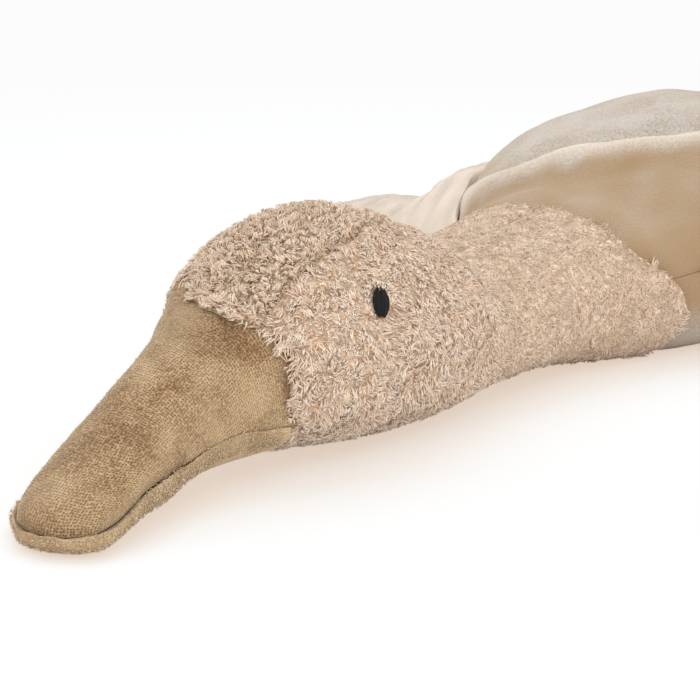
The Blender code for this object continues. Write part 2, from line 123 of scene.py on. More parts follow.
# Sizes of the covers alone
CHEST_SEAM_FORWARD = 14 * MM
BILL_START = SEAM_GAP / 2 / BILL_LENGTH
UPPER_KEEP = 0.86
LOWER_KEEP = 0.80
MOUTH_ANGLE = math.radians(121.6)
CREASE = (-0.2035, math.radians(62))
EYE_BACK = 1.9 * MM
EYE_UP = 0.7 * MM
EYE_TILT = math.radians(24)
EYE_THREADS = 13
SHORT_THREADS = (4, 5, 8)
SIDE_SEAM_RADIUS = 0.08
PINCH = 0.35 * MM
CROWN_FIBRES = 10000
HEAD_FIBRES = 16500
NECK_FIBRES = 12800
FAR_SIDE_FIBRES = 0.75

# Front edge of the plush: degrees round from the top, millimetres behind the head's front
PLUSH_EDGE = (
    (-180, 1), (-130, 1), (-100, 6), (-70, 9), (-52, 8), (-35, 2.2), (-15, -5.5), (0, -9.5), (15, -10.2),
    (33, -7.0), (45, -3.6), (60, -0.4), (78, 0.8), (95, 0.8), (112, -0.4), (128, -0.2), (145, 1.2), (180, 1),
)
# The bill's half widths, by the share of the way to its tip
BILL_SIDES = (
    (0, BILL_BASE_WIDTH / 2), (0.32, 0.54 * BILL_MID_WIDTH),
    (0.5, BILL_MID_WIDTH / 2), (1, BILL_TIP_WIDTH / 2),
)
# The mouth seam's lift in millimetres on the left, by the share of the way to the tip
SEAM_LIFT = (
    (0, 0), (0.1, 1.8), (0.22, 3.8), (0.33, 3.6), (0.45, 3.0),
    (0.66, 3.6), (0.8, 1.5), (0.92, 0.3), (1, 0),
)
# The fold over the back: places across and along the goose
RIDGE = (
    (-0.090, -0.010), (-0.060, -0.040), (-0.029, -0.068), (-0.011, -0.083),
    (0.011, -0.098), (0.032, -0.108), (0.050, -0.103), (0.085, -0.060),
)


# The goose's form
def smooth(x, points):
    """Monotone cubic through (x, value) points, flat beyond both ends, for an array of x."""
    at, value = np.array(points, float).T
    spans = np.diff(at)
    slopes = np.diff(value) / spans
    turning = slopes[:-1] * slopes[1:]
    tangents = np.empty_like(at)
    tangents[0], tangents[-1] = slopes[0], slopes[-1]
    both = np.where(turning > 0, slopes[:-1] + slopes[1:], 1.0)
    tangents[1:-1] = np.where(turning > 0, 2 * turning / both, 0.0)
    x = np.clip(x, at[0], at[-1])
    i = np.clip(np.searchsorted(at, x, side="right") - 1, 0, len(spans) - 1)
    h = spans[i]
    t = (x - at[i]) / h
    start = value[i] * (1 + 2 * t) * (1 - t) ** 2 + tangents[i] * h * t * (1 - t) ** 2
    end = value[i + 1] * t * t * (3 - 2 * t) + tangents[i + 1] * h * t * t * (t - 1)
    return start + end


def ease(t):
    """0 before 0, 1 after 1 and smooth between."""
    t = np.clip(t, 0, 1)
    return t * t * (3 - 2 * t)


def between(start, end, t):
    """The way from start to end by a share t."""
    return start + (end - start) * t


def power(value, exponent):
    """A power that keeps its value's sign."""
    return np.sign(value) * np.abs(value) ** exponent


def hump(distance, width):
    """1 at no distance, falling to nothing over about twice the width."""
    return np.exp(-((distance / width) ** 2))


FORM = (
    (HEAD_FRONT, BILL_BASE_WIDTH / 2, MOUTH_AT_BASE - BILL_DEPTH_AT_BASE, MOUTH_AT_BASE + BILL_BASE_RISE),
    (HEAD_FRONT + 0.12 * HEAD_LENGTH, 0.41 * HEAD_WIDTH, 0.0095, 0.87 * HEAD_HEIGHT),
    (HEAD_FRONT + 0.28 * HEAD_LENGTH, 0.475 * HEAD_WIDTH, 0.0070, 0.965 * HEAD_HEIGHT),
    (HEAD_FRONT + 0.46 * HEAD_LENGTH, 0.50 * HEAD_WIDTH, 0.0050, HEAD_HEIGHT),
    (HEAD_FRONT + 0.74 * HEAD_LENGTH, 0.485 * HEAD_WIDTH, 0.0035, 0.90 * HEAD_HEIGHT),
    (NECK_FRONT + 0.10 * NECK_LENGTH, NECK_WIDTH / 2, 0.0070, NECK_HEIGHT),
    (NECK_FRONT + 0.50 * NECK_LENGTH, 0.52 * NECK_WIDTH, 0.0065, 1.02 * NECK_HEIGHT),
    (BODY_FRONT, CHEST_WIDTH / 2, 0.0, CHEST_HEIGHT),
    (BODY_FRONT + 0.16 * BODY_LENGTH, 0.38 * BODY_WIDTH, -SINK, 0.86 * BODY_HEIGHT),
    (BODY_FRONT + 0.34 * BODY_LENGTH, 0.48 * BODY_WIDTH, -SINK, 0.97 * BODY_HEIGHT),
    (BODY_FRONT + 0.50 * BODY_LENGTH, 0.50 * BODY_WIDTH, -SINK, BODY_HEIGHT),
    (BODY_FRONT + 0.70 * BODY_LENGTH, 0.47 * BODY_WIDTH, -SINK, 0.92 * BODY_HEIGHT),
    (BODY_FRONT + 0.88 * BODY_LENGTH, 0.36 * BODY_WIDTH, 0.30 * TAIL_LIFT, 0.72 * BODY_HEIGHT),
    (BODY_END, 0.62 * TAIL_WIDTH, 0.72 * TAIL_LIFT, 0.50 * BODY_HEIGHT),
    (BODY_END + 0.5 * TAIL_LENGTH, 0.50 * TAIL_WIDTH, TAIL_LIFT, TAIL_LIFT + 0.014),
    (TAIL_TIP, 0.22 * TAIL_WIDTH, TAIL_LIFT + 0.004, TAIL_LIFT + 0.004 + 4 * BACKING),
)


def form_section(x):
    """Half width, underside and top of the goose at x."""
    return tuple(smooth(x, [(row[0], row[k]) for row in FORM]) for k in (1, 2, 3))


def form_point(x, angle):
    """Backing surface at x, with angle 0 at the top and positive towards the goose's left."""
    x, angle = np.broadcast_arrays(np.asarray(x, float), np.asarray(angle, float))
    half_width, underside, top = form_section(x)
    middle = underside + 0.48 * (top - underside)
    upper = np.cos(angle) >= 0
    rise = np.where(upper, top - middle, middle - underside)
    exponent = np.where(upper, 2 / 2.1, 2 / 2.25)
    across = -half_width * power(np.sin(angle), exponent)
    return np.stack([x, across, middle + rise * power(np.cos(angle), exponent)], -1)


def unit(vectors):
    return vectors / np.maximum(np.linalg.norm(vectors, axis=-1, keepdims=True), 1e-12)


def form_normal(x, angle):
    """Unit normals of the form, pointing out of it."""
    along = form_point(x + 1e-4, angle) - form_point(x - 1e-4, angle)
    across = form_point(x, angle + 1e-3) - form_point(x, angle - 1e-3)
    normal = unit(np.cross(along, across))
    underside, top = form_section(x)[1:]
    centre = np.stack([x, 0 * x, (underside + top) / 2], -1)
    outwards = form_point(x, angle) - centre
    return normal * np.where((normal * outwards).sum(-1, keepdims=True) < 0, -1, 1)


def form_offset(x, angle, distance, floor):
    """Points at a distance outside the backing, kept above floor where the goose rests."""
    x, angle, distance = np.broadcast_arrays(np.asarray(x, float), angle, distance)
    point = form_point(x, angle) + form_normal(x, angle) * distance[..., None]
    point[..., 2] = np.maximum(point[..., 2], floor)
    return point


def gusset_angle(x):
    """Half angle that the crown gusset covers at x."""
    third = HEAD_FRONT + 0.35 * (GUSSET_END - HEAD_FRONT)
    shape = [(HEAD_FRONT, GUSSET_FRONT_WIDTH), (third, GUSSET_WIDTH), (GUSSET_END, GUSSET_END_WIDTH)]
    half_width, underside, top = form_section(x)
    radius = (half_width + top - underside) / 2 * 0.9
    return np.minimum(smooth(x, shape) / 2 / radius, math.radians(80))


def seam_angle(x):
    """Half of a seam's gap as an angle of the section at x."""
    return SEAM_GAP / 2 / form_section(x)[0]


def chest_seam(angle):
    """Place of the seam between the chest plush and the body velour, further forward over the top."""
    forward = CHEST_SEAM_FORWARD * ease((np.cos(angle) + 0.15) / 0.75)
    return BODY_FRONT + CHEST_SEAM_SLANT * (1 - np.cos(angle)) / 2 - forward


def wrapped(angle):
    """The same direction as an angle from -pi to pi."""
    return np.arctan2(np.sin(angle), np.cos(angle))


def plush_edge(angle):
    """Front edge of the plush: the crown's tongue reaches over the bill, and the sides start further back."""
    return HEAD_FRONT + smooth(np.degrees(wrapped(angle)), PLUSH_EDGE) * MM


def ripple(places, wavelength, seed):
    """Smooth unevenness of about -1 to 1 over places, with humps about half a wavelength wide."""
    rng = np.random.default_rng(seed)
    waves = unit(rng.normal(size=(18, 3))) * rng.uniform(0.7, 1.5, (18, 1))
    phase = rng.uniform(0, 2 * math.pi, 18)
    total = np.sin(places @ waves.T * (2 * math.pi / wavelength) + phase).sum(-1)
    return np.clip(total / 5.0, -1, 1)


# Materials
def linear(code):
    """Linear RGBA of an sRGB hex colour."""
    parts = [int(code[k : k + 2], 16) / 255 for k in (1, 3, 5)]
    return tuple(c / 12.92 if c <= 0.04045 else ((c + 0.055) / 1.055) ** 2.4 for c in parts) + (1.0,)


def set_inputs(tree, node, inputs):
    """Gives a node its inputs, each a number, a hex colour or another node's socket."""
    for name, value in inputs.items():
        if isinstance(value, bpy.types.NodeSocket):
            tree.links.new(value, node.inputs[name])
        else:
            node.inputs[name].default_value = linear(value) if isinstance(value, str) else value


def add(tree, kind, inputs=None, stops=(), **settings):
    """Adds a node with its settings, inputs and a ramp's stops, and gives its outputs."""
    node = tree.nodes.new("ShaderNode" + kind)
    for name, value in settings.items():
        setattr(node, name, value)
    set_inputs(tree, node, inputs or {})
    for k, (place, colour) in enumerate(stops):
        stop = node.color_ramp.elements[k] if k < 2 else node.color_ramp.elements.new(place)
        stop.position = place
        stop.color = linear(colour)
    return node.outputs


def finish_of(name, **values):
    """A material of one shader, with the values that are the same all over it."""
    made = bpy.data.materials.new(name)
    made.use_nodes = True
    shader = made.node_tree.nodes["Principled BSDF"]
    set_inputs(made.node_tree, shader, {label.replace("_", " "): value for label, value in values.items()})
    return made, made.node_tree, shader


def make_pile_finish():
    """Polyester teddy pile: pale wavy fibres, with painted warm shade that darkens them where they leave the backing.
    """
    made, tree, shader = finish_of(
        "polyester_teddy_pile", Roughness=0.85, Specular_IOR_Level=0.25, Sheen_Weight=0.15, Sheen_Roughness=0.5
    )
    place = add(tree, "SeparateXYZ", {0: add(tree, "UVMap", uv_map="fibre")[0]})
    tones = [(0.0, "#A2825F"), (0.35, "#E1C8AC"), (0.65, "#F8E6D4"), (1.0, "#FCF1E4")]
    tone = add(tree, "ValToRGB", {0: place[0]}, tones)[0]
    # Painted shade: each fibre darker and warmer towards its root, for the shade and warm bounced light between the
    # fibres
    along = add(tree, "ValToRGB", {0: place[1]}, [(0.0, "#BE9068"), (0.22, "#EFD2B4"), (0.5, "#FFFFFF")])[0]
    colour = add(tree, "Mix", {0: 1.0, 6: tone, 7: along}, data_type="RGBA", blend_type="MULTIPLY")[2]
    set_inputs(tree, shader, {"Base Color": colour})
    return made


def make_fuzz_finish():
    """Loose velour pile ends of the bill, tan and pale at the edges."""
    made, tree, shader = finish_of("tan_velour_pile_ends", Roughness=0.9, Specular_IOR_Level=0.2, Sheen_Weight=0.3)
    place = add(tree, "SeparateXYZ", {0: add(tree, "UVMap", uv_map="fibre")[0]})
    tone = add(tree, "ValToRGB", {0: place[0]}, [(0.1, "#A88A62"), (0.5, "#D2BA98"), (0.9, "#EFE0C8")])
    set_inputs(tree, shader, {"Base Color": tone[0]})
    return made


def make_backing_finish(name, dark, middle, light):
    """The matted feet of the pile over the knitted backing: short crossing strands with warm gaps, coloured darker
    and warmer than the fibres as painted shade under the pile.
    """
    made, tree, shader = finish_of(name, Roughness=0.95, Sheen_Weight=0.3)
    place = add(tree, "TexCoord")["Object"]
    swirl = add(tree, "TexNoise", {"Vector": place, "Scale": 1 / 0.007, "Detail": 2.0})["Color"]
    pulled = add(tree, "VectorMath", {0: swirl, 1: (0.02, 0.02, 0.02)}, operation="MULTIPLY")[0]
    moved = add(tree, "VectorMath", {0: place, 1: pulled}, operation="ADD")[0]
    # Strands about 0.8 mm wide and 2.6 mm long, lying down and forward, with finer ones in them
    laid = add(tree, "Mapping", {"Vector": moved, "Rotation": (0.0, 0.9, 0.3), "Scale": (1.0, 3.2, 3.2)})[0]
    grain = add(tree, "TexNoise", {"Vector": laid, "Scale": 1 / 0.0026, "Detail": 3.0})["Fac"]
    tone = add(tree, "ValToRGB", {0: grain}, [(0.34, dark), (0.50, middle), (0.66, light)])
    bump = add(tree, "Bump", {"Height": grain, "Strength": 1.0, "Distance": 0.0016})[0]
    set_inputs(tree, shader, {"Base Color": tone[0], "Normal": bump})
    return made


def velour_parts(tree, tuft_size, tuft_ends, patch_size, detail, distortion):
    """What both velours start from: the three numbers of nap, painted light and painted shade, the tufts, their tone
    and the brushed patches.
    """
    place = add(tree, "TexCoord")["Object"]
    wear_and_light = add(tree, "SeparateColor", {0: add(tree, "Attribute", attribute_name="wear_and_light")[0]})
    tufts = add(tree, "TexNoise", {"Vector": place, "Scale": 1 / tuft_size, "Detail": 4.0})["Fac"]
    tuft_tone = add(tree, "MapRange", {0: tufts, 1: tuft_ends[0], 2: tuft_ends[1]})[0]
    inputs = {"Vector": place, "Scale": 1 / patch_size, "Detail": detail, "Distortion": distortion}
    return wear_and_light, tufts, tuft_tone, add(tree, "TexNoise", inputs)["Fac"]


def make_knit_velour_finish(name, gap, pile, pale_tone):
    """Warp-knitted velour: rows of tiny tufts with darker gaps between, brushed and flattened by rubbing in patches,
    with painted shade along its seams.
    """
    made, tree, shader = finish_of(
        name, Roughness=0.9, Specular_IOR_Level=0.2, Sheen_Weight=0.55, Sheen_Roughness=0.4, Sheen_Tint="#F4E6CF"
    )
    # Tufts 0.8 mm wide with finer ones in them, in patches about 16 mm wide
    wear_and_light, tufts, tuft_tone, patches = velour_parts(tree, 0.0008, (0.38, 0.62), 0.016, 3.0, 0.6)
    pale, strength, from_seam = wear_and_light
    # Courses 0.95 mm apart along the bill and wales 0.9 mm apart across it, a little uneven
    cloth = add(tree, "UVMap", uv_map="cloth")[0]
    drift = add(tree, "TexNoise", {"Vector": cloth, "Scale": 1 / 0.006, "Detail": 1.0})["Color"]
    centred = add(tree, "VectorMath", {0: drift, 1: (0.5, 0.5, 0.5)}, operation="SUBTRACT")[0]
    uneven = add(tree, "VectorMath", {0: centred, 1: (0.7, 0.7, 0.0)}, operation="MULTIPLY")[0]
    scaled = add(tree, "Mapping", {"Vector": cloth, "Scale": (1 / 0.00095, 1 / 0.00090, 1)})[0]
    moved = add(tree, "VectorMath", {0: scaled, 1: uneven}, operation="ADD")[0]
    inputs = {"Vector": moved, "Scale": 1.0, "Randomness": 0.35}
    stitch = add(tree, "TexVoronoi", inputs, voronoi_dimensions="2D")["Distance"]
    inputs = {0: stitch, 1: 0.08, 2: 0.40, 3: 0.75, 4: 0.0}
    gaps = add(tree, "MapRange", inputs, interpolation_type="SMOOTHSTEP")[0]
    dots = add(tree, "Math", {0: gaps, 1: strength}, operation="MULTIPLY")[0]

    patch = add(tree, "MapRange", {0: patches, 1: 0.42, 2: 0.68, 4: 0.5})[0]
    # The paler share: brushed patches, and on the bill's upper left side partly painted light
    pale_share = add(tree, "Math", {0: patch, 1: pale}, operation="ADD", use_clamp=True)[0]
    deep = add(tree, "MapRange", {0: patches, 1: 0.48, 2: 0.30, 4: 0.4})[0]
    # Painted shade along the seams, darkest where the cloth turns in
    painted_seam_shade = add(tree, "MapRange", {0: from_seam, 1: 0.75, 2: 1.35, 3: 0.8, 4: 0.0})[0]
    colour = gap
    for share, shade in ((tuft_tone, pile), (pale_share, pale_tone), (deep, gap), (dots, gap), (painted_seam_shade, "#57422C")):
        colour = add(tree, "Mix", {0: share, 6: colour, 7: shade}, data_type="RGBA")[2]
    fine = add(tree, "Math", {0: tufts, 1: 0.55}, operation="MULTIPLY")[0]
    height = add(tree, "Math", {0: fine, 1: dots}, operation="SUBTRACT")[0]
    bump = add(tree, "Bump", {"Height": height, "Strength": 0.85, "Distance": 0.0006})[0]
    set_inputs(tree, shader, {"Base Color": colour, "Normal": bump})
    return made


def make_body_velour_finish():
    """Short-pile velour of the body: oat coloured, with nap brushed to and fro in soft patches, and with painted
    light and shade: a greyer front of the back, a dark hollow and groove, a highlight on the fold and shade along the
    seams.
    """
    made, tree, shader = finish_of(
        "oat_body_velour",
        Roughness=0.92,
        Specular_IOR_Level=0.2,
        Sheen_Weight=0.35,
        Sheen_Roughness=0.5,
        Sheen_Tint="#F3EADC",
    )
    wear_and_light, tufts, tuft_tone, patches = velour_parts(tree, 0.0011, (0.32, 0.68), 0.022, 4.0, 0.8)
    dark, light, from_seam = wear_and_light
    patch = add(tree, "MapRange", {0: patches, 1: 0.38, 2: 0.66, 4: 0.45})[0]
    painted_seam_shade = add(tree, "MapRange", {0: from_seam, 1: 0.3, 2: 1.8, 3: 0.6, 4: 0.0})[0]
    # The grey base stays on the front of the back as painted cool light from above, partly nap; the dark share warms
    # the velour elsewhere and paints shade, the light share paints the fold's highlight and pales the wings, and the
    # seams get painted shade
    colour = "#A0958A"
    shades = ((tuft_tone, "#C4BFB7"), (patch, "#CDC9C4"), (dark, "#A48B6C"), (light, "#F4E8DA"), (painted_seam_shade, "#7B6450"))
    for share, shade in shades:
        colour = add(tree, "Mix", {0: share, 6: colour, 7: shade}, data_type="RGBA")[2]
    bump = add(tree, "Bump", {"Height": tufts, "Strength": 0.7, "Distance": 0.0008})[0]
    set_inputs(tree, shader, {"Base Color": colour, "Normal": bump})
    return made


def make_thread_finish():
    """Cotton embroidery thread, black and nearly matt, with a little light along each stitch."""
    made, tree, shader = finish_of("black_cotton_thread", Roughness=0.6, Specular_IOR_Level=0.25)
    place = add(tree, "TexCoord")["Object"]
    twist = add(tree, "TexNoise", {"Vector": place, "Scale": 1 / 0.0004, "Detail": 2.0})["Fac"]
    tone = add(tree, "MapRange", {0: twist, 1: 0.3, 2: 0.7})[0]
    colour = add(tree, "Mix", {0: tone, 6: "#050506", 7: "#131316"}, data_type="RGBA")[2]
    set_inputs(tree, shader, {"Base Color": colour})
    return made


def make_fill_finish():
    """Polyester fibre fill: white matted fibres."""
    made, tree, shader = finish_of("polyester_fibre_fill", Roughness=0.95, Sheen_Weight=0.3)
    place = add(tree, "TexCoord")["Object"]
    inputs = {"Vector": place, "Scale": 1 / 0.004, "Detail": 5.0, "Distortion": 1.5}
    mat = add(tree, "TexNoise", inputs)["Fac"]
    colour = add(tree, "Mix", {0: mat, 6: "#D9D6CE", 7: "#F4F2EC"}, data_type="RGBA")[2]
    bump = add(tree, "Bump", {"Height": mat, "Strength": 0.6, "Distance": 0.001})[0]
    set_inputs(tree, shader, {"Base Color": colour, "Normal": bump})
    return made


# Meshes
def placed(name, data):
    """A new object of the scene."""
    made = bpy.data.objects.new(name, data)
    bpy.context.scene.collection.objects.link(made)
    return made


def shown(name, mesh, finish, replaced=()):
    """Links a finished mesh as a piece that rides with the goose."""
    piece = placed(name, mesh)
    mesh.materials.append(finish)
    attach(piece, "root")
    if replaced:
        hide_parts(*replaced)
    return piece


def mesh_of(bm, name):
    """A mesh from finished edits, which are then let go."""
    mesh = bpy.data.meshes.new(name)
    bm.to_mesh(mesh)
    bm.free()
    return mesh


def add_map(mesh, name, coords):
    """Adds a UV map with one place for each vertex."""
    corners = np.empty(len(mesh.loops), np.int32)
    mesh.loops.foreach_get("vertex_index", corners)
    mesh.uv_layers.new(name=name).uv.foreach_set("vector", coords[corners].astype(np.float32).ravel())


def laid_flat(outer, u, v):
    """Places on the flat cloth in metres, measured over the panel: along its middle, then out to each side."""
    columns, rows = 160, 120
    middle = rows // 2
    grid_u, grid_v = np.meshgrid(np.linspace(0, 1, columns + 1), np.linspace(0, 1, rows + 1), indexing="ij")
    points = outer(grid_u.ravel(), grid_v.ravel()).reshape(columns + 1, rows + 1, 3)
    along = np.linalg.norm(np.diff(points, axis=0), axis=2).cumsum(0)
    along = np.concatenate([np.zeros((1, rows + 1)), along])[:, middle]
    across = np.linalg.norm(np.diff(points, axis=1), axis=2).cumsum(1)
    across = np.concatenate([np.zeros((columns + 1, 1)), across], 1)
    across -= across[:, middle : middle + 1]
    i = np.clip((u * columns).astype(int), 0, columns - 1)
    j = np.clip((v * rows).astype(int), 0, rows - 1)
    s, t = u * columns - i, v * rows - j
    near, far = (between(across[k, j], across[k, j + 1], t) for k in (i, i + 1))
    return np.stack([between(along[i], along[i + 1], s), between(near, far, s)], -1)


def panel_mesh(name, outer, inner, columns, rows, cloth=False, wear_and_light=None):
    """A closed panel between outer(u, v) and inner(u, v), with u and v from 0 to 1.

    cloth adds its places on the flat cloth, for the knit. The last argument, a function of (u, v), gives three
    numbers
    that the velours read: the share of the knit's paler colour or the body's dark one, which holds nap flattened by
    rubbing, painted light and painted shade; the strength of the stitches or the share of the body's light colour,
    partly a painted highlight; and millimetres from a seam, along which the velours paint shade.
    """
    bm = bmesh.new()
    bmesh.ops.create_grid(bm, x_segments=columns, y_segments=rows, size=0.5)
    raised = bmesh.ops.extrude_face_region(bm, geom=bm.faces[:])["geom"]
    raised = {item for item in raised if isinstance(item, bmesh.types.BMVert)}
    u, v = (np.array([(vertex.co.x, vertex.co.y) for vertex in bm.verts]) + 0.5).T
    top = np.array([vertex in raised for vertex in bm.verts])
    places = np.where(top[:, None], outer(u, v), inner(u, v))
    for vertex, place in zip(bm.verts, places):
        vertex.co = place
    bmesh.ops.recalc_face_normals(bm, faces=bm.faces[:])
    mesh = mesh_of(bm, name)
    if cloth:
        add_map(mesh, "cloth", laid_flat(outer, u, v))
    if wear_and_light:
        shades = np.ones((len(u), 4), np.float32)
        shades[:, :3] = np.stack(wear_and_light(u, v), -1)
        mesh.color_attributes.new("wear_and_light", "FLOAT_COLOR", "POINT").data.foreach_set("color", shades.ravel())
    mesh.shade_smooth()
    mesh.set_sharp_from_angle(angle=math.radians(55))
    return mesh


# The bill
def seam_lift(nose, share):
    """How much higher the mouth seam runs along the left side, where the soft bill lies a little rolled over."""
    return smooth(nose, SEAM_LIFT) * MM * ease((share - 0.2) / 0.6)


def bill_point(u, v, grow, depth):
    """Half of the bill: u from the head to the tip, v from side to side, its seam edge moved out by grow."""
    across = math.pi * (v - 0.5)
    share = power(np.sin(across), 0.92)
    end = BILL_LENGTH - BILL_TIP_ROUND * (1 - np.sqrt(np.maximum(0.0, 1 - share * share))) + grow
    reach = end * u
    nose = np.minimum(1.0, reach / BILL_LENGTH)
    seam = smooth(nose, [(0, MOUTH_AT_BASE), (0.5, MOUTH_AT_MIDDLE), (0.9, MOUTH_AT_TIP)])
    fall = np.cos(np.arcsin(np.minimum(1.0, u**3.5))) ** 0.7 * np.maximum(0.0, np.cos(across)) ** 0.92
    aside = -(smooth(nose, BILL_SIDES) + grow) * share - BILL_BEND * nose**1.6
    return np.stack([HEAD_FRONT - reach, aside, seam + depth * fall + seam_lift(nose, share) * (1 - fall)], -1)


def bill_rise(u):
    """Height of the bill over its mouth seam, by the share of the way to the tip."""
    points = [(0, BILL_BASE_RISE), (0.5, BILL_MID_RISE), (0.85, BILL_TIP_RISE), (1, 0.8 * BILL_TIP_RISE)]
    return smooth(u, points)


def bill_depth(u):
    """Depth of the bill under its mouth seam."""
    return smooth(u, [(0, BILL_DEPTH_AT_BASE), (0.5, 0.60 * BILL_DEPTH_AT_BASE), (0.92, BILL_DEPTH_AT_TIP)])


def bill_lip(u):
    """How far the lower half stands out past the mouth seam."""
    return smooth(u, [(0, BILL_LIP_AT_BASE), (0.5, 1.3 * BILL_LIP_AT_BASE), (0.95, BILL_LIP_AT_TIP)])


def on_head(point, u, angle):
    """Draws the bill's base out to the head's own section, so that no gap shows under the pile."""
    high = ease((math.radians(105) - np.abs(angle)) / math.radians(40))
    share = (ease(1 - u / 0.16) * high)[..., None]
    back = np.maximum(plush_edge(angle) - HEAD_FRONT, 0) + 3.5 * MM
    x = point[..., 0] + back * ease(1 - u / 0.05)
    moved = point * (1 - share) + form_point(x, angle) * share
    moved[..., 0] = x
    # On the right the bill's base is as wide as the pile behind it
    far_side = ease((-np.degrees(angle) - 15) / 40) * ease((120 + np.degrees(angle)) / 25) * ease(1 - u / 0.4)
    return moved + form_normal(x, angle) * (2.4 * MM * far_side)[..., None]


def turned_in(u, v, keep):
    """Splits (u, v) into the panel's face and how far a point is round its rolled seam edge, 0 to 1."""
    side = 2 * v - 1
    face_u = np.minimum(1.0, u / keep)
    face_v = (np.clip(side / keep, -1, 1) + 1) / 2
    rolled = np.maximum((u - keep) / (1 - keep), (np.abs(side) - keep) / (1 - keep))
    return face_u, face_v, np.clip(rolled, 0, 1)


def bill_upper_face(u, v):
    """Outside of the upper cover, swelling softly, puckered along its seam and turned in there."""
    face_u, face_v, rolled = turned_in(u, v, UPPER_KEEP)
    face_u = between(BILL_START, 1, face_u)
    grow = VELOUR_PILE * np.cos(rolled * math.pi / 2)
    point = bill_point(face_u, face_v, grow, bill_rise(face_u) + VELOUR_PILE)
    edge = np.minimum(1 - face_u, np.minimum(face_v, 1 - face_v) * 1.2)
    soft = 0.55 * MM * ripple(point, 0.026, 3) + 0.18 * MM * ripple(point, 0.009, 4)
    pucker = 0.30 * MM * np.sin(point[..., 0] * 2 * math.pi / 0.0062 + 2 * ripple(point, 0.03, 8))
    point[..., 2] += soft * ease(edge / 0.15) * ease(u / 0.08) + pucker * hump(edge - 0.06, 0.05) * ease(u / 0.08)
    point = on_head(point, face_u, (2 * face_v - 1) * MOUTH_ANGLE)
    plump = np.sin(math.pi * np.clip(face_v, 0, 1)) ** 0.8 * ease((face_u - 0.08) / 0.25) * ease((1 - face_u) / 0.1)
    point[..., 2] += SEAM_GAP / 2 - 0.9 * MM * rolled**2 + 1.3 * MM * plump
    point[..., 1] += 0.9 * MM * plump * ease((0.5 - face_v) / 0.3)
    return point


def bill_lower_face(u, v):
    """Outside of the lower cover, which rolls up round the seam as a soft lip."""
    face_u, face_v, rolled = turned_in(u, v, LOWER_KEEP)
    face_u = between(BILL_START, 1, face_u)
    uneven = 1 + 0.12 * ripple(bill_point(face_u, face_v, 0, 0 * u), 0.014, 6)
    lip = bill_lip(face_u) * uneven
    far_tip = ease((0.62 - face_v) / 0.3) * ease((face_u - 0.6) / 0.3)
    lip = lip * (1 - 0.45 * far_tip) * (1 - 0.45 * hump(face_u - 0.35, 0.3)) - 0.6 * MM * ease((face_u - 0.7) / 0.3)
    grow = (lip + 0.2 * MM) * (1 + np.cos(rolled**1.8 * math.pi)) / 2
    point = bill_point(face_u, face_v, grow, -bill_depth(face_u) - VELOUR_PILE)
    dome = np.sin(rolled * math.pi) * (0.35 * MM + 0.20 * lip) * (1 + 0.25 * ripple(point, 0.008, 5))
    dome -= 1.3 * MM * ease((rolled - 0.5) / 0.4) * (1 - 0.4 * ease((face_u - 0.7) / 0.25))
    hanging = smooth(face_u, [(0, 0.25), (0.45, 0.25), (0.66, 0.55), (1, 0.55)]) * (1 - ease(rolled / 0.6))
    dome -= seam_lift(face_u, 2 * face_v - 1) * hanging
    point[..., 2] = np.maximum(0.0, point[..., 2] + dome - SEAM_GAP / 2)
    return point


def from_edge(face, u, v):
    """Millimetres from the nearest point of a face's edge along its sides or tip."""
    at = face(u, v)
    edges = [face(u, 0 * v), face(u, 0 * v + 1), face(0 * u + 1, v)]
    return np.minimum.reduce([np.linalg.norm(at - edge, axis=-1) for edge in edges]) / MM


def make_bill_upper(finish):
    """The upper velour of the bill, paler on its left side and at the tip; the paler left side, which faces the
    lamps, is partly nap flattened by rubbing and partly painted light.
    """

    def inner(u, v):
        u = between(BILL_START, 1, u)
        point = bill_point(u, v, -BACKING, np.maximum(0.0, bill_rise(u) - BACKING - 0.8 * MM))
        point[..., 2] += SEAM_GAP / 2
        return point

    def wear_and_light(u, v):
        face_u, face_v = turned_in(u, v, UPPER_KEEP)[:2]
        place = bill_point(face_u, face_v, 0, bill_rise(face_u))
        # The left side is paler: partly nap flattened by rubbing, partly painted light where it faces the lamps
        near_side = ease((face_v - 0.66) / 0.3)
        cloudy = 0.5 + 0.5 * ripple(place, 0.02, 12)
        pale = 0.50 * near_side * cloudy + 0.20 * hump(face_u - 0.95, 0.12)
        pale += 0.35 * hump(np.abs(place[..., 0] + 0.345) / 0.016, 1) * ripple(place, 0.013, 15).clip(0, 1)
        dots = 1.0 - 0.45 * near_side * cloudy
        # The last number is the distance from the mouth seam and the tip's edge, along which the velour paints shade
        return pale.clip(0, 1), dots.clip(0, 1), from_edge(bill_upper_face, u, v) - 0.45

    mesh = panel_mesh("bill_upper_cover", bill_upper_face, inner, 96, 64, True, wear_and_light)
    return shown("bill_upper_cover", mesh, finish, ["bill_upper"])


def make_bill_lower(finish):
    """The lower velour of the bill with its soft lip."""

    def inner(u, v):
        u = between(BILL_START, 1, u)
        point = bill_point(u, v, -BACKING, -np.maximum(0.0, bill_depth(u) - BACKING))
        point[..., 2] = np.maximum(BACKING, point[..., 2] - SEAM_GAP / 2 - 0.7 * MM)
        return point

    def wear_and_light(u, v):
        face_u, face_v, rolled = turned_in(u, v, LOWER_KEEP)
        place = bill_point(face_u, face_v, 0, 0 * u)
        cloudy = 0.5 + 0.5 * ripple(place, 0.012, 22)
        # The lip, where it rolls in to the seam, gets the velour's painted seam shade
        return 0.30 + 0.4 * cloudy, 0.45 + 0 * u, 0.75 + 4.0 * np.clip(0.64 - rolled, 0, 1)

    mesh = panel_mesh("bill_lower_cover", bill_lower_face, inner, 96, 60, True, wear_and_light)
    return shown("bill_lower_cover", mesh, finish, ["bill_lower"])


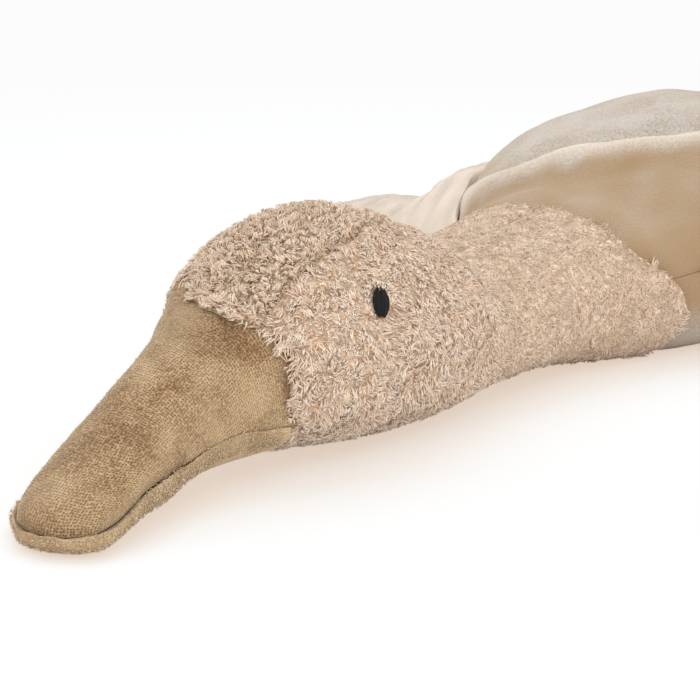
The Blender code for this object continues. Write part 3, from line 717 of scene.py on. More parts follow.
def make_bill_fuzz(finish):
    """Loose ends of the velour's pile, most of them along the lip."""
    rng = np.random.default_rng(300)
    tufts = []
    # Each face, the shares of the way to the tip and to the side where its ends start and stop, their number and size
    for face, low_tip, low_side, end, count, long in (
        (bill_upper_face, 0.82, 0, 0.87, 900, 0.45),
        (bill_lower_face, 0.74, 0.60, 0.95, 5600, 1.0),
    ):
        u = rng.uniform(0.03, 0.999, 6 * count)
        v = rng.uniform(0, 1, 6 * count)
        side = np.abs(2 * v - 1)
        wanted = ((side > low_side) | (u > low_tip)) & (np.maximum(side, u) < end)
        u, v = u[wanted], v[wanted]
        at = face(u, v)
        normal = np.cross(face(u + 1e-3, v) - at, face(u, v + 1e-3) - at)
        area = np.linalg.norm(normal, axis=1)
        normal = unit(normal)
        outwards = at - np.array((0, -0.001, 0.010))
        normal *= np.sign((normal[:, 1:] * outwards[:, 1:]).sum(1))[:, None]
        chosen = np.flatnonzero(rng.uniform(0, np.quantile(area, 0.95), len(u)) < area)[:count]
        tufts.append((at[chosen], normal[chosen], np.full(len(chosen), long)))
    place, normal, long = (np.concatenate(part) for part in zip(*tufts))
    count = len(place)
    lie = unit(np.array((-1.0, 0.0, -0.2)) + rng.normal(0, 0.7, (count, 3)))
    lie = unit(lie - normal * (lie * normal).sum(1)[:, None])
    length = long * MM * rng.uniform(0.6, 1.2, count)
    path = np.empty((count, 4, 3))
    for k, (rise, run) in enumerate(((-0.1, 0.0), (0.4, 0.15), (0.62, 0.5), (0.66, 0.95))):
        path[:, k] = place + normal * (rise * length)[:, None] + lie * (run * length)[:, None]
        path[:, k] += rng.normal(0, 0.06 * MM, (count, 3)) * (k > 0)
    tone = rng.normal(0.55, 0.18, count)
    mesh = fibres_mesh("bill_fuzz", path, 0.10 * MM * rng.uniform(0.7, 1.2, count), tone)
    return shown("bill_fuzz", mesh, finish)


# Head, neck and chest
def neck_share(x):
    """0 on the head and 1 on the neck, where the pile is finer and more even."""
    return ease((x - NECK_FRONT + 0.053) / 0.08)


def plush_depth(x, angle):
    """Share of the full pile height: parted at the seams and pressed down at the bill and round the eyes."""
    folded = np.abs(wrapped(angle))
    half_width, underside, top = form_section(x)
    radius = (half_width + (top - underside) / 2) / 2
    from_gusset = np.where(x < GUSSET_END, np.abs(folded - gusset_angle(x)), folded) * radius
    from_bill = x - plush_edge(angle)
    parted = np.where(x < GUSSET_END, 0.72, 0.35)
    depth = (1 - parted * hump(from_gusset, 0.0019)) * (0.85 + 0.15 * ease(from_bill / 0.006))
    depth *= 1 - 0.5 * ease((x - chest_seam(angle) + 0.016) / 0.014) * ease(np.cos(angle) / 0.5)
    # The stitches pull the pile into short creases towards the bill
    for side in (1, -1):
        centre, along, up, out = eye_frame(side)
        away = form_point(x, angle) - centre
        ahead, above = -(away @ along), away @ up
        reach = np.hypot(ahead, above)
        pull = ease((reach - 0.002) / 0.003) * ease((0.014 - reach) / 0.008) * ease((away @ out + 0.02) / 0.01)
        for turn in (-0.75, -0.25, 0.2, 0.8):
            depth *= 1 - 0.6 * pull * hump(np.arctan2(above, ahead) - turn, 0.11)
    # One more crease lies where the side of the head meets the neck
    crease = form_point(*map(np.array, CREASE))
    away = form_point(x, angle) - crease
    across_crease = away @ unit(np.array((1.0, -0.1, 0.55)))
    depth *= 1 - 0.55 * hump(across_crease, 0.0016) * hump(np.linalg.norm(away, axis=-1), 0.009)
    return depth


def head_base_mesh(name, station, angle_at, columns, rows, full, to_chest):
    """The knitted backing and the roots of the pile over one panel of the head and neck."""

    def place_of(u, v):
        x = station(u)
        angle = angle_at(x, v)
        x = x + (plush_edge(angle) + 1.3 * MM * ease(np.cos(angle) / 0.3) - HEAD_FRONT) * ease(1 - u / 0.25)
        return x + (chest_seam(angle) - BODY_FRONT) * u**4 * to_chest, angle

    def outer(u, v):
        x, angle = place_of(u, v)
        place = form_point(x, angle)
        neck = neck_share(x)
        thick = between(full, 2.6 * MM, neck) + (0.75 - 0.35 * neck) * MM * ripple(place, 0.0050, 31)
        thick = thick * plush_depth(x, angle) * (0.25 + 0.75 * ease((x - plush_edge(angle)) / 0.005))
        return form_offset(x, angle, thick, 0.0)

    def inner(u, v):
        x, angle = place_of(u, v)
        return form_offset(x, angle, -BACKING, 1.2 * MM)

    return panel_mesh(name, outer, inner, columns, rows)


def make_head_bases(finish, crown_finish):
    """The backing of the crown gusset and of both sides."""
    start = HEAD_FRONT + SEAM_GAP / 2

    def crown_station(u):
        return between(start, GUSSET_END - SEAM_GAP / 2, u)

    def crown_angle(x, v):
        limit = gusset_angle(x) - seam_angle(x)
        return between(-limit, limit, v)

    def side_station(u):
        return between(start, BODY_FRONT - SEAM_GAP / 2, u**1.1)

    mesh = head_base_mesh("crown_backing", crown_station, crown_angle, 60, 32, 1.3 * MM, 0)
    shown("crown_backing", mesh, crown_finish, ["crown_gusset"])
    for side, label in SIDES:

        def side_angle(x, v, side=side):
            top_seam = gusset_angle(x) + seam_angle(x)
            past = ease((x - GUSSET_END) / 0.004)
            top_seam = between(top_seam, seam_angle(x), past)
            return side * between(top_seam, math.pi - seam_angle(x), v)

        mesh = head_base_mesh("head_neck_backing_" + label, side_station, side_angle, 110, 44, 1.8 * MM, 1)
        shown("head_neck_backing_" + label, mesh, finish, ["head_neck_" + label])


def eye_frame(side):
    """Centre of an eye on the backing, with the directions along, up and out of it."""
    x = np.array(HEAD_FRONT + EYE_IN_HEAD)
    angle = np.array(side * EYE_ANGLE)
    place = form_point(x, angle)
    outwards = form_normal(x, angle)
    along = unit(form_point(x + 0.002, angle) - place)
    up = np.cross(outwards, along) * side
    # The oval stands a little more upright than the head's side
    c, s = math.cos(EYE_TILT), math.sin(EYE_TILT)
    return place - along * EYE_BACK + up * EYE_UP, along * c - up * s, up * c + along * s, outwards


def fibre_shape():
    """One fibre as a closed three-sided rod with pointed ends: its places and its faces."""
    bm = bmesh.new()
    bmesh.ops.create_cone(bm, cap_ends=True, segments=3, radius1=1.0, radius2=1.0, depth=1.0)
    caps = [face for face in bm.faces if len(face.verts) == 3]
    for end in bmesh.ops.poke(bm, faces=caps)["verts"]:
        end.co.z *= 3
    bmesh.ops.triangulate(bm, faces=bm.faces[:])
    bmesh.ops.recalc_face_normals(bm, faces=bm.faces[:])
    bm.verts.index_update()
    places = np.array([vertex.co[:] for vertex in bm.verts])
    faces = np.array([[vertex.index for vertex in face.verts] for face in bm.faces])
    bm.free()
    return places, faces


FIBRE_PLACES, FIBRE_FACES = fibre_shape()


def fibres_mesh(name, path, radius, tone):
    """Copies the fibre once for each path of four places from root to tip, coloured by tone."""
    count, size = len(path), len(FIBRE_PLACES)
    axis = unit(path[:, 3] - path[:, 0])
    aside = unit(np.cross(axis, UP + 0.001 * axis[:, ::-1]))
    across = np.cross(axis, aside)
    # Each vertex belongs to the root, the first bend, the second bend or the tip
    joint = np.digitize(FIBRE_PLACES[:, 2], (-1, 0, 1))
    width = np.array((0.0, 1.0, 0.85, 0.0))[joint]
    points = path[:, joint]
    for k in range(size):
        out = FIBRE_PLACES[k, 0] * aside + FIBRE_PLACES[k, 1] * across
        points[:, k] += out * (radius * width[k])[:, None]
    points[..., 2] = np.maximum(points[..., 2], 0.0002)
    mesh = bpy.data.meshes.new(name)
    faces = (FIBRE_FACES[None] + size * np.arange(count)[:, None, None]).reshape(-1, 3)
    mesh.from_pydata(points.reshape(-1, 3), [], faces)
    coords = np.empty((count, size, 2), np.float32)
    coords[..., 0] = np.clip(tone[:, None], 0.02, 0.98) + 0.006 * FIBRE_PLACES[:, 0] * (width > 0)
    coords[..., 1] = np.array((0.02, 0.35, 0.70, 0.98))[joint]
    # The same map twice: the pile's colour reads the first, and the second is named OFBake
    for label in ("fibre", "OFBake"):
        add_map(mesh, label, coords.reshape(-1, 2))
    mesh.shade_smooth()
    return mesh


def scattered(low_x, high_x, angle_at, count, rng):
    """Evenly spread places (x, angle) over the form between two stations."""
    x = rng.uniform(low_x, high_x, 3 * count)
    v = rng.uniform(0, 1, 3 * count)
    angle = angle_at(x, v)
    here = form_point(x, angle)
    step_x = form_point(x + 1e-4, angle) - here
    step_v = form_point(x, angle_at(x, v + 1e-3)) - here
    area = np.linalg.norm(np.cross(step_x, step_v), axis=-1)
    chosen = np.flatnonzero(rng.uniform(0, np.quantile(area, 0.98), len(x)) < area)[:count]
    return x[chosen], angle[chosen]


def turned(vectors, normals, angle):
    """Tangent vectors turned about the normals by an angle each."""
    c, s = np.cos(angle)[:, None], np.sin(angle)[:, None]
    return vectors * c + np.cross(normals, vectors) * s


def make_pile(name, finish, low_x, high_x, angle_at, count, seed, upright=0.0, per_clump=11, radius=0.25):
    """Teddy pile over part of the head or neck: wavy fibres that lean together in small clumps."""
    rng = np.random.default_rng(seed)
    x, angle = scattered(low_x, high_x, angle_at, count, rng)
    inside = (x < chest_seam(angle) - 0.0002) & (x > plush_edge(angle) + 0.0003)
    x, angle = x[inside], angle[inside]
    for side in (1, -1):
        centre, along, up, out = eye_frame(side)
        away = form_point(x, angle) - centre
        oval = ((away @ along) / (EYE_WIDTH / 2 + 0.4 * MM)) ** 2 + ((away @ up) / (EYE_HEIGHT / 2 + 0.1 * MM)) ** 2
        keep = (oval > 1) | (away @ out < -0.01)
        x, angle = x[keep], angle[keep]
    count = len(x)
    place, normal = form_point(x, angle), form_normal(x, angle)

    # Which way the pile is combed
    at_bill = hump(x - plush_edge(angle), 0.008)
    at_chest = ease((x - chest_seam(angle) + 0.012) / 0.010)
    neck = neck_share(x)
    comb = np.tile((-0.62, 0.0, -0.78), (count, 1))
    for share, way in ((at_bill, (-1.0, 0.0, -0.12)), (at_chest, (1.0, 0.0, -0.2)), (0.6 * neck, (0.35, 0.0, -0.94))):
        comb = comb * (1 - share)[:, None] + np.array(way) * share[:, None]
    for side in (1, -1):
        away = place - eye_frame(side)[0]
        near = np.linalg.norm(away, axis=1)
        comb += 1.6 * (unit(away) * hump(near, 0.0085)[:, None])
    comb = unit(comb - normal * (comb * normal).sum(1)[:, None])
    comb = turned(comb, normal, 1.3 * ripple(place, 0.024, 41) + 0.9 * ripple(place, 0.010, 42))

    # Clumps, each with its own turn, height and tone
    centres = rng.choice(count, count // per_clump, replace=False)
    tree = kdtree.KDTree(len(centres))
    for k, c in enumerate(centres):
        tree.insert(place[c], k)
    tree.balance()
    own = np.array([tree.find(p)[1] for p in place])
    clumps = len(centres)
    clump_turn = rng.normal(0, 0.70 + 1.4 * upright, clumps)[own]
    clump_height = rng.uniform(0.72 - 0.25 * upright, 1.05, clumps)[own]
    clump_lean = rng.uniform(0.65, 1.25, clumps)[own]
    clump_tone = rng.normal(0, 1, clumps)[own]
    clump_curl = rng.normal(0, 1, clumps)[own]

    depth = plush_depth(x, angle)
    height = PLUSH_PILE * depth * clump_height * rng.uniform(0.8, 1.06, count)
    lean = PLUSH_PILE * (0.80 - 0.45 * upright) * clump_lean * rng.uniform(0.75, 1.25, count)
    lean *= (1 - 0.2 * neck) * (0.8 + (0.55 + 1.0 * upright) * at_bill + 0.7 * at_chest)
    heading = turned(comb, normal, clump_turn * (1 - 0.35 * neck) + rng.normal(0, 0.22, count))
    sideways = np.cross(normal, heading)
    wave = rng.normal(0, 0.32 * MM, count) + 0.48 * MM * clump_curl
    # The front rows hang down over the bill
    fringe = ease(1 - (x - plush_edge(angle)) / 0.0045)
    path = np.empty((count, 4, 3))
    # Rise in heights, run in leans, swing in waves and droop of the root, the two bends and the tip
    shape = ((0.03, 0.0, 0.0, 0.0), (0.48, 0.20, 1.0, 0.10), (0.84, 0.62, -0.7, 0.35), (0.90, 1.08, 0.5, 0.75))
    for k, (rise, run, swing, droop) in enumerate(shape):
        rise = rise * (1 - droop * fringe)
        path[:, k] = place + normal * (rise * height)[:, None] + heading * (run * lean)[:, None]
        path[:, k] += sideways * (swing * wave)[:, None]
    # Fibres of a clump draw together towards their tips
    drawn = rng.uniform(0.15, 0.55, count) * (1 + 0.1 * upright) * (1 - 0.5 * neck) * (1 - 0.5 * at_bill)
    for k, share in ((2, 0.5), (3, 1.0)):
        middle = np.stack([np.bincount(own, path[:, k, axis], clumps) for axis in range(3)], 1)
        middle /= np.maximum(np.bincount(own, minlength=clumps), 1)[:, None]
        path[:, k] += (middle[own] - path[:, k]) * (share * drawn)[:, None]
    thick = radius * MM * rng.uniform(0.6, 1.2, count)
    tone = 0.72 + (0.055 - 0.02 * neck) * clump_tone + rng.normal(0, 0.045, count) + 0.07 * ripple(place, 0.02, 51)
    # Painted shade: fibres darker where the pile is pressed down or parted, in its creases and along its seams, and
    # darker on the upright crown, for the shade seen down between its fibres; the neck's fibres are a little darker
    # too
    tone -= 0.40 * (1 - depth) + 0.15 * upright * (1 - neck) + 0.15 * neck
    mesh = fibres_mesh(name, path, thick, tone)
    return shown(name, mesh, finish)


def make_plush(finish):
    """The standing pile of the crown, the head and the neck."""

    def crown(x, v):
        return gusset_angle(x) * (2 * v - 1)

    def flank(side):
        def angle_at(x, v):
            top_seam = np.where(x < GUSSET_END, gusset_angle(x), 0.0)
            return side * between(top_seam, math.pi, v)

        return angle_at

    share = 1.0
    fibres = int(CROWN_FIBRES * share)
    make_pile("crown_pile", finish, HEAD_FRONT - 11 * MM, GUSSET_END, crown, fibres, 101, 0.85, 8, 0.25)
    split = NECK_FRONT + 0.004
    end = BODY_FRONT + CHEST_SEAM_SLANT
    for side, label in SIDES:
        more = 1.0 if side > 0 else FAR_SIDE_FIBRES
        fibres = int(HEAD_FIBRES * share * more)
        make_pile("head_pile_" + label, finish, HEAD_FRONT - 5 * MM, split, flank(side), fibres, 110 + side)
        fibres = int(NECK_FIBRES * share * more)
        make_pile("neck_pile_" + label, finish, split, end, flank(side), fibres, 120 + side, 0.1, 9, 0.24)


# Eyes
def make_eye(side, label, finish):
    """An oval of satin stitches side by side over a low pad, its threads running up and down."""
    centre, along, up, out = eye_frame(side)
    rng = np.random.default_rng(200 + side)
    surface = PLUSH_PILE - 0.8 * MM
    bm = bmesh.new()

    def rod(offset, reach, thick, lift, short):
        """One stitch: a sphere drawn out along the dome of the pad."""
        ball = bmesh.ops.create_uvsphere(bm, u_segments=8, v_segments=14, radius=1)["verts"]
        for vertex in ball:
            t = vertex.co.z
            taper = (1 - abs(t) ** 6) ** 0.5
            span = math.hypot(vertex.co.x, vertex.co.y) if abs(t) < 0.999 else math.inf
            dome = (1 - 0.45 * (offset / (EYE_WIDTH / 2)) ** 2) * (1 - abs(t) ** 2.6 * 0.95)
            x_here = offset * (1 - 0.10 * t * t) + vertex.co.x / span * thick * taper
            y_here = reach * t - short * max(0.0, t) + 0.12 * MM * math.sin(5 * t + offset * 9000)
            z_here = surface + EYE_DEPTH * (0.45 * dome - 0.5) + lift + vertex.co.y / span * thick * taper
            vertex.co = Vector(centre + along * x_here + up * y_here + out * z_here)

    for k in range(EYE_THREADS):
        share = (k + 0.5) / EYE_THREADS * 2 - 1
        offset = share * EYE_WIDTH / 2 * 1.12
        reach = 1.25 * EYE_HEIGHT / 2 * (1 - abs(0.93 * share) ** 2.6) ** 0.5 * rng.uniform(0.92, 1.05)
        short = 1.1 * MM if k in SHORT_THREADS else 0.0
        rod(offset, reach, 0.29 * MM * rng.uniform(0.85, 1.1), rng.uniform(-0.10, 0.12) * MM, short)
    bmesh.ops.recalc_face_normals(bm, faces=bm.faces[:])
    pad = bmesh.ops.create_uvsphere(bm, u_segments=20, v_segments=10, radius=1)["verts"]
    for vertex in pad:
        x_here, y_here, z_here = vertex.co
        spot = along * x_here * (EYE_WIDTH / 2 * 1.08) + up * y_here * (EYE_HEIGHT / 2 * 0.94)
        vertex.co = Vector(centre + spot + out * (surface - 0.62 * EYE_DEPTH + z_here * 0.45 * EYE_DEPTH))
    mesh = mesh_of(bm, "eye_stitches_" + label)
    mesh.shade_smooth()
    return shown("eye_stitches_" + label, mesh, finish, ["eye_" + label])


# The body
def from_fold(x, place):
    """How far behind the fold that runs from behind the neck over the back."""
    return x - smooth(place[..., 1], RIDGE) + 1.5 * MM * ripple(place, 0.04, 65)


def body_relief(x, angle):
    """How far the body's velour stands out of the form: its fold, the hollow before it and the chest seam."""
    place = form_point(x, angle)
    upper = ease((np.cos(angle) + 0.15) / 0.45)
    from_ridge = from_fold(x, place)
    fold = 3.8 * MM * hump(from_ridge - 0.001, 0.0044) - 3.0 * MM * hump(from_ridge - 0.015, 0.008)
    hollow = -4.2 * MM * ease((-from_ridge - 0.001) / 0.016) * ease((x - BODY_FRONT + 0.004) / 0.02)
    fade = ease((0.078 - np.abs(place[..., 1])) / 0.035)
    seam = -1.8 * MM * hump(x - chest_seam(angle), 0.0048)
    soft = 1.1 * MM * ripple(place, 0.075, 61) + 0.6 * MM * ripple(place, 0.030, 62)
    settled = ease((x - chest_seam(angle)) / 0.02) * ease((BODY_END - x) / 0.03)
    side_seam = -1.3 * MM * hump((np.abs(angle) - SIDE_SEAM_ANGLE) * SIDE_SEAM_RADIUS, 0.0022) * settled
    rest = ease((place[..., 2] - 0.004) / 0.012)
    return upper * fade * (fold + hollow) + (seam + soft * settled) * rest + side_seam


def body_wear_and_light(x, angle):
    """Shares of the dark and the light colour, and millimetres from the nearest seam: the dark share is painted shade
    in the hollow before the fold, partly nap, and in the groove behind it, with the oat warmth further back; the
    light share is a painted highlight on the fold.
    """
    place = form_point(x, angle)
    from_ridge = from_fold(x, place)
    uneven = from_ridge + 2.5 * MM * ripple(place, 0.018, 72)
    inland = ease((0.088 - np.abs(place[..., 1])) / 0.03) * ease((place[..., 2] - 0.010) / 0.02)
    # Painted shade in the hollow before the fold, partly nap seen against its lie
    front = ease((-uneven - 0.0005) / 0.009) * inland * (0.92 + 0.08 * ripple(place, 0.018, 73))
    # Painted shade in the groove behind the fold
    groove = 0.45 * hump(from_ridge - 0.012, 0.007) * ease((place[..., 1] + 0.01) / 0.03)
    # Further back and round the sides the velour turns warmer oat; the grey left on the front of the back is painted
    # cool light from above, partly nap
    behind = 0.34 * np.maximum(ease((x + 0.04) / 0.09), 0.8 * ease((np.abs(angle) - 0.7) / 0.5))
    dark = 0.92 * front + groove + behind + 0.15 * ripple(place, 0.035, 71).clip(0, 1)
    # Painted highlight along the crest of the fold
    light = 0.55 * hump(from_ridge - 0.0015, 0.0045) * inland
    # Distances to the chest and side seams, along which the velour paints shade
    faint = 0.004 * (1 - ease((x - chest_seam(angle) - 0.01) / 0.04))
    side_seam = np.abs(np.abs(angle) - SIDE_SEAM_ANGLE) * SIDE_SEAM_RADIUS + faint
    seam = np.minimum(np.abs(x - chest_seam(angle)), side_seam) / MM
    return dark.clip(0, 1), light.clip(0, 1), seam


def drawn_shut(point):
    """Brings the back and the belly together where the tail ends in a sewn edge."""
    past = np.clip((point[..., 0] - TAIL_TIP + 0.012) / 0.012, 0, 1)
    underside, top = form_section(point[..., 0])[1:]
    middle = (underside + top) / 2
    point[..., 2] = middle + (point[..., 2] - middle) * (0.22 + 0.78 * np.sqrt(1 - past**2))
    return point


def make_body_panel(name, node, from_angle, to_angle, columns, rows, finish):
    """One velour of the body between two angles of its section, from the chest seam to the tail."""

    def station(u, v):
        nominal = between(BODY_FRONT, TAIL_TIP, u)
        angle = between(from_angle + seam_angle(nominal), to_angle - seam_angle(nominal), v)
        return between(chest_seam(angle) + SEAM_GAP / 2, TAIL_TIP, u), angle

    def outer(u, v):
        x, angle = station(u, v)
        return drawn_shut(form_offset(x, angle, VELOUR_PILE + body_relief(x, wrapped(angle)), 0.0))

    def inner(u, v):
        x, angle = station(u, v)
        distance = -BACKING * smooth(x, [(BODY_END, 1), (BODY_END + 0.4 * TAIL_LENGTH, 0)])
        thin = ease((BODY_END + 0.4 * TAIL_LENGTH - x) / 0.01)
        relief = body_relief(x, wrapped(angle)) * thin
        return drawn_shut(form_offset(x, angle, distance + relief, VELOUR_PILE + BACKING))

    def wear_and_light(u, v):
        x, angle = station(u, v)
        return body_wear_and_light(x, wrapped(angle))

    mesh = panel_mesh(name, outer, inner, columns, rows, wear_and_light=wear_and_light)
    return shown(name, mesh, finish, [node])


def make_body_stuffing(finish):
    """Stuffing just inside the body's cover, following its folds."""
    inset = BACKING + FILLING_GAP

    def half(direction):
        def at(u, v):
            x = between(BODY_FRONT + 0.001, BODY_END, u)
            angle = (v - 0.5) * math.pi * 0.999
            if direction < 0:
                angle = math.pi - angle
            relief = np.minimum(0.0, body_relief(x, wrapped(angle)))
            return form_offset(x, angle, relief - inset, inset + 3 * BACKING)

        return at

    mesh = panel_mesh("body_stuffing", half(1), half(-1), 60, 32)
    return shown("body_stuffing", mesh, finish, ["body_filling"])


# Wings and feet
def edge_share(u, v, root):
    """0 on a limb's sewn edge and 1 further in; the root is u = 0, with a share of the limb hidden behind it."""
    return np.minimum(np.minimum(v, 1 - v) / 0.10, np.minimum(1 - u, u + root) / 0.08).clip(0, 1)


def pad_panel(limb, outline, puff, root, columns, rows, finish, wear_and_light, cloth=False):
    """A thin padded limb: two cloths sewn along a pinched edge."""
    half = BACKING + VELOUR_PILE + 0.5 * SEAM_GAP

    def outer(u, v):
        point = outline(u, v)
        plump = np.sqrt(edge_share(u, v, root))
        point[..., 2] += half + PINCH + (half - PINCH + puff(u, v)) * plump
        return point

    def inner(u, v):
        point = outline(u, v)
        point[..., 2] += (half - PINCH) * (1 - np.sqrt(edge_share(u, v, root)))
        return point

    mesh = panel_mesh(limb + "_cover", outer, inner, columns, rows, cloth, wear_and_light)
    return shown(limb + "_cover", mesh, finish, [limb + "_top", limb + "_under"])


def make_wing(side, label, finish):
    """A spread wing, quilted between its scallops, that lies down from the side seam to the table."""
    stand_off = VELOUR_PILE + 3 * SEAM_GAP

    def scallops(u):
        """0 on the lines of stitches between the scallops and 1 midway."""
        return np.abs(np.sin(math.pi * (WING_SCALLOPS * u + 0.35)))

    def outline(u, v):
        x = BODY_FRONT + WING_ROOT_FRONT_IN_BODY + WING_ROOT_CHORD * v
        root = form_offset(x, SIDE_SEAM_ANGLE + 0 * x, stand_off, 0.0)
        reach = WING_SPAN * np.sin(math.pi * (0.5 - 0.16 * np.abs(2 * v - 0.8) ** 2.2))
        cut = WING_SCALLOP_DEPTH * (1 - scallops(u) ** 0.6) * smooth(u, [(0.15, 0), (0.4, 1)])
        tip_x = BODY_FRONT + WING_TIP_FRONT_IN_BODY + (WING_TIP_CHORD - cut) * v
        tip_y = -(BODY_WIDTH / 2 + reach)
        sweep = 1 - (1 - u) ** 1.35
        drop = smooth(u, [(0, 0), (0.5 * WING_BEND, 0.5), (WING_BEND, 1)])
        z = (root[..., 2] - BACKING - VELOUR_PILE) * (1 - drop)
        y = between(root[..., 1], tip_y, u) * side
        return np.stack([between(root[..., 0], tip_x, sweep), y, z], -1)

    def puff(u, v):
        ends = np.sin(math.pi * np.clip(v, 0, 1)) * np.sin(math.pi * np.clip(u, 0, 1) ** 0.8)
        quilt = 1 - 0.5 * hump(scallops(u), 0.28) * ease((v - 0.18) / 0.25) * ease((u - 0.12) / 0.12)
        place = outline(u, v)
        crumple = 1 + 0.10 * ripple(place, 0.03, 81) + 0.05 * ripple(place, 0.012, 82)
        return 2 * WING_PUFF * np.maximum(0.0, ends) ** 0.55 * quilt * crumple

    def wear_and_light(u, v):
        place = outline(u, v)
        stitched = hump(scallops(u), 0.10) * ease((v - 0.2) / 0.2) * ease((u - 0.12) / 0.12)
        # The quilting stitches and the sewn edge get the velour's painted seam shade
        from_seam = 0.7 + np.minimum(9 * edge_share(u, v, 0.12), 4 * (1 - stitched))
        light = (0.58 + 0.2 * ripple(place, 0.03, 84)) * (1 - 0.45 * u)
        return 0.14 + 0.14 * ripple(place, 0.04, 83) + 0.1 * u, light, from_seam

    return pad_panel("wing_" + label, outline, puff, 0.12, 90, 48, finish, wear_and_light)


def outside_body(point, margin):
    """Whether points are further than margin outside the body's backing."""
    half_width, underside, top = form_section(point[..., 0])
    middle = underside + 0.48 * (top - underside)
    upper = point[..., 2] > middle
    rise = np.where(upper, top - middle, middle - underside) + margin
    exponent = np.where(upper, 2.1, 2.25)
    across = np.abs(point[..., 1]) / (half_width + margin)
    return across**exponent + (np.abs(point[..., 2] - middle) / rise) ** exponent > 1


def make_foot(side, label, finish):
    """A webbed foot that lies splayed beside the tail, its ankle just clear of the body."""
    cover = 2 * (BACKING + VELOUR_PILE)
    root = form_offset(np.array(BODY_FRONT + FOOT_IN_BODY), np.array(FOOT_ROOT_ANGLE), VELOUR_PILE, 0.0)
    ahead = np.array((math.cos(FOOT_SPLAY), -math.sin(FOOT_SPLAY), 0.0))
    aside = np.array((math.sin(FOOT_SPLAY), math.cos(FOOT_SPLAY), 0.0))

    def puff(u, v):
        web = 0.45 + 0.55 * np.abs(np.sin(math.pi * FOOT_TOES * v))
        ends = np.sin(math.pi * np.clip(v, 0, 1)) * np.sin(math.pi * np.clip(0.14 + 0.86 * u, 0, 1))
        return 2 * FOOT_PUFF * np.maximum(0.0, ends) ** 0.45 * web

    def lying(u, v):
        width = smooth(u, [(0, FOOT_ANKLE_WIDTH), (0.3, 1.05 * FOOT_ANKLE_WIDTH), (1, FOOT_TOE_WIDTH)])
        lobe = np.abs(np.sin(math.pi * FOOT_TOES * v)) ** 0.6
        corner = 1 - np.abs(2 * v - 1) ** 3
        reach = (FOOT_LENGTH - FOOT_TOE_DEPTH * (1 - lobe) - 0.5 * FOOT_TOE_DEPTH * (1 - corner)) * u
        lift = max(0.0, root[2] - 0.5 * cover - FOOT_PUFF) * (1 - smooth(u, [(0, 0), (0.3, 1)]))
        point = np.array((root[0], root[1], 0.0)) + ahead * reach[..., None]
        point = point + aside * ((v - 0.5) * width)[..., None]
        point[..., 2] += lift
        return point

    u, v, level = np.meshgrid(np.linspace(0, 0.4, 9), np.linspace(0, 1, 13), np.linspace(0, 1, 6), indexing="ij")
    ankle = lying(u.ravel(), v.ravel())
    ankle[:, 2] += level.ravel() * (cover + SEAM_GAP + puff(u.ravel(), v.ravel()))
    shift = 0.0
    while not outside_body(ankle + ahead * shift, VELOUR_PILE + 1.5 * SEAM_GAP).all():
        shift += SEAM_GAP / 2

    def outline(u, v):
        return (lying(u, v) + ahead * shift) * np.array((1.0, side, 1.0))

    def wear_and_light(u, v):
        pale_tone = 0.5 + 0.4 * ripple(outline(u, v), 0.016, 91)
        # The sewn edge gets the velour's painted seam shade
        return pale_tone, 0.8 + 0 * u, 0.9 + 4 * edge_share(u, v, 0.2)

    return pad_panel("foot_" + label, outline, puff, 0.2, 40, 48, finish, wear_and_light, True)


# Floor, light and camera
FLOOR_RADIUS = 6.0
# Each lamp's name, place, target, size in metres, watts and colour
LAMPS = (
    ("overhead_softbox", (0.15, 0.25, 1.5), (-0.15, 0.0, 0.0), 1.4, 7.5, "#FFFFFF"),
    ("front_softbox", (-1.3, -0.9, 0.9), (-0.2, 0.0, 0.0), 1.2, 9.5, "#FFF8F2"),
)
CAMERA_PLACE = (-0.6764, -0.3226, 0.1638)
CAMERA_TURNS = (37.33, 14.55, 0.4)
SENSOR_WIDTH = 36.0
FOCAL_PIXELS = 1700
PICTURE_PIXELS = 700


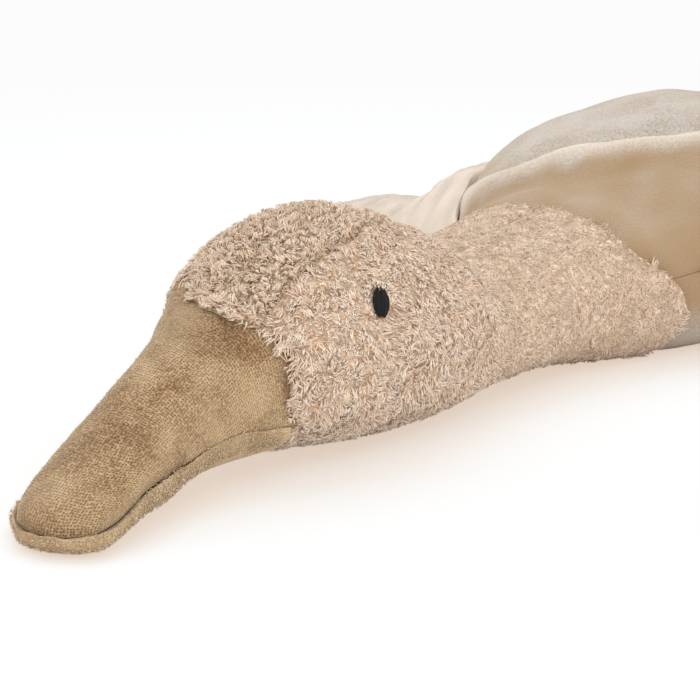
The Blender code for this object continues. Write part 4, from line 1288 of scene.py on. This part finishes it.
def make_studio():
    """A pale floor under soft even light, with a large soft lamp overhead and a little behind."""
    bm = bmesh.new()
    bmesh.ops.create_circle(bm, cap_ends=True, segments=96, radius=FLOOR_RADIUS)
    floor = placed("floor", mesh_of(bm, "floor"))
    made, tree, shader = finish_of("matt_white_studio_floor", Roughness=0.9, Specular_IOR_Level=0.1)
    place = add(tree, "TexCoord")["Object"]
    mottle = add(tree, "TexNoise", {"Vector": place, "Scale": 3.0})["Fac"]
    colour = add(tree, "Mix", {0: mottle, 6: "#FBF8F6", 7: "#FDFBFA"}, data_type="RGBA")[2]
    set_inputs(tree, shader, {"Base Color": colour})
    # To the camera the floor is mostly its own even white, which keeps the shadow soft; near the goose a warm glow
    # under a bluish diffuse paints a warm tint into the shadow
    seen = add(tree, "LightPath")["Is Camera Ray"]
    middle = add(tree, "VectorMath", {0: place}, operation="LENGTH")["Value"]
    far = add(tree, "MapRange", {0: middle, 1: 0.50, 2: 1.3})[0]
    shadow = add(tree, "BsdfDiffuse", {"Color": "#8BA9BC"})[0]
    glow = add(tree, "Emission", {"Color": "#D9C4B3"})[0]
    near = add(tree, "AddShader", {0: shadow, 1: glow})[0]
    white = add(tree, "Emission", {"Color": "#FCFCFC"})[0]
    to_camera = add(tree, "MixShader", {0: far, 1: near, 2: white})[0]
    mixed = add(tree, "MixShader", {0: seen, 1: shader.outputs[0], 2: to_camera})[0]
    set_inputs(tree, tree.nodes["Material Output"], {"Surface": mixed})
    floor.data.materials.append(made)

    world = bpy.data.worlds.new("studio")
    bpy.context.scene.world = world
    world.use_nodes = True
    tree = world.node_tree
    tree.nodes.clear()
    rays = add(tree, "LightPath")
    fill = add(tree, "Background", {"Color": "#FFFBF7", "Strength": 0.86})[0]
    white = add(tree, "Background", {"Color": "#FCFCFC"})[0]
    seen = add(tree, "Math", {0: rays["Is Camera Ray"], 1: rays["Is Glossy Ray"]}, operation="MAXIMUM")[0]
    seen = add(tree, "Math", {0: seen, 1: rays["Is Transmission Ray"]}, operation="MAXIMUM")[0]
    mixed = add(tree, "MixShader", {0: seen, 1: fill, 2: white})[0]
    add(tree, "OutputWorld", {"Surface": mixed})

    for name, place, target, size, energy, colour in LAMPS:
        lamp = bpy.data.lights.new(name, "AREA")
        lamp.shape = "SQUARE"
        lamp.size = size
        lamp.energy = energy
        lamp.color = linear(colour)[:3]
        holder = placed(name, lamp)
        holder.location = place
        holder.rotation_euler = (Vector(target) - Vector(place)).to_track_quat("-Z", "Y").to_euler()


def make_camera():
    """The photograph's viewpoint: low, in front of the goose and on its left."""
    yaw, pitch, roll = map(math.radians, CAMERA_TURNS)
    ahead = Vector((math.cos(yaw) * math.cos(pitch), math.sin(yaw) * math.cos(pitch), -math.sin(pitch)))
    level = Vector((math.sin(yaw), -math.cos(yaw), 0))
    upright = level.cross(ahead)
    right = level * math.cos(roll) + upright * math.sin(roll)
    up = upright * math.cos(roll) - level * math.sin(roll)
    lens = bpy.data.cameras.new("photo_camera")
    lens.sensor_width = SENSOR_WIDTH
    lens.lens = SENSOR_WIDTH * FOCAL_PIXELS / PICTURE_PIXELS
    lens.clip_start = 0.02
    holder = placed("photo_camera", lens)
    turn = Matrix((right, up, -ahead)).transposed().to_4x4()
    holder.matrix_world = Matrix.Translation(CAMERA_PLACE) @ turn
    bpy.context.scene.camera = holder


def make_goose():
    """Everything of the goose, from bill to feet."""
    backing = make_backing_finish("plush_matted_pile_feet", "#B38862", "#E3C7A8", "#FAE8D5")
    # The crown's backing is darker and more olive than the sides': partly the gusset's own colour, partly painted
    # shade seen down between its upright fibres
    crown_backing = make_backing_finish("crown_matted_pile_feet", "#7C6342", "#B39A77", "#E6D3BA")
    bill_cloth = make_knit_velour_finish("tan_knitted_bill_velour", "#745637", "#BC9E77", "#CBB38F")
    foot_cloth = make_knit_velour_finish("tan_knitted_foot_velour", "#8C6A42", "#C7A77E", "#D9C29C")
    velour = make_body_velour_finish()
    thread = make_thread_finish()
    fill = make_fill_finish()
    make_bill_upper(bill_cloth)
    make_bill_lower(bill_cloth)
    make_head_bases(backing, crown_backing)
    make_bill_fuzz(make_fuzz_finish())
    make_plush(make_pile_finish())
    make_body_panel("body_back_cover", "body_back", -SIDE_SEAM_ANGLE, SIDE_SEAM_ANGLE, 110, 72, velour)
    end = 2 * math.pi - SIDE_SEAM_ANGLE
    make_body_panel("body_belly_cover", "body_belly", SIDE_SEAM_ANGLE, end, 80, 44, velour)
    make_body_stuffing(fill)
    for side, label in SIDES:
        make_eye(side, label, thread)
        make_wing(side, label, velour)
        make_foot(side, label, foot_cloth)
    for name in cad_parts:
        if name.endswith("_filling") and name != "body_filling":
            bpy.data.objects[name].data.materials.clear()
            bpy.data.objects[name].data.materials.append(fill)


make_goose()
make_studio()
make_camera()
bpy.context.scene.view_settings.view_transform = "Standard"
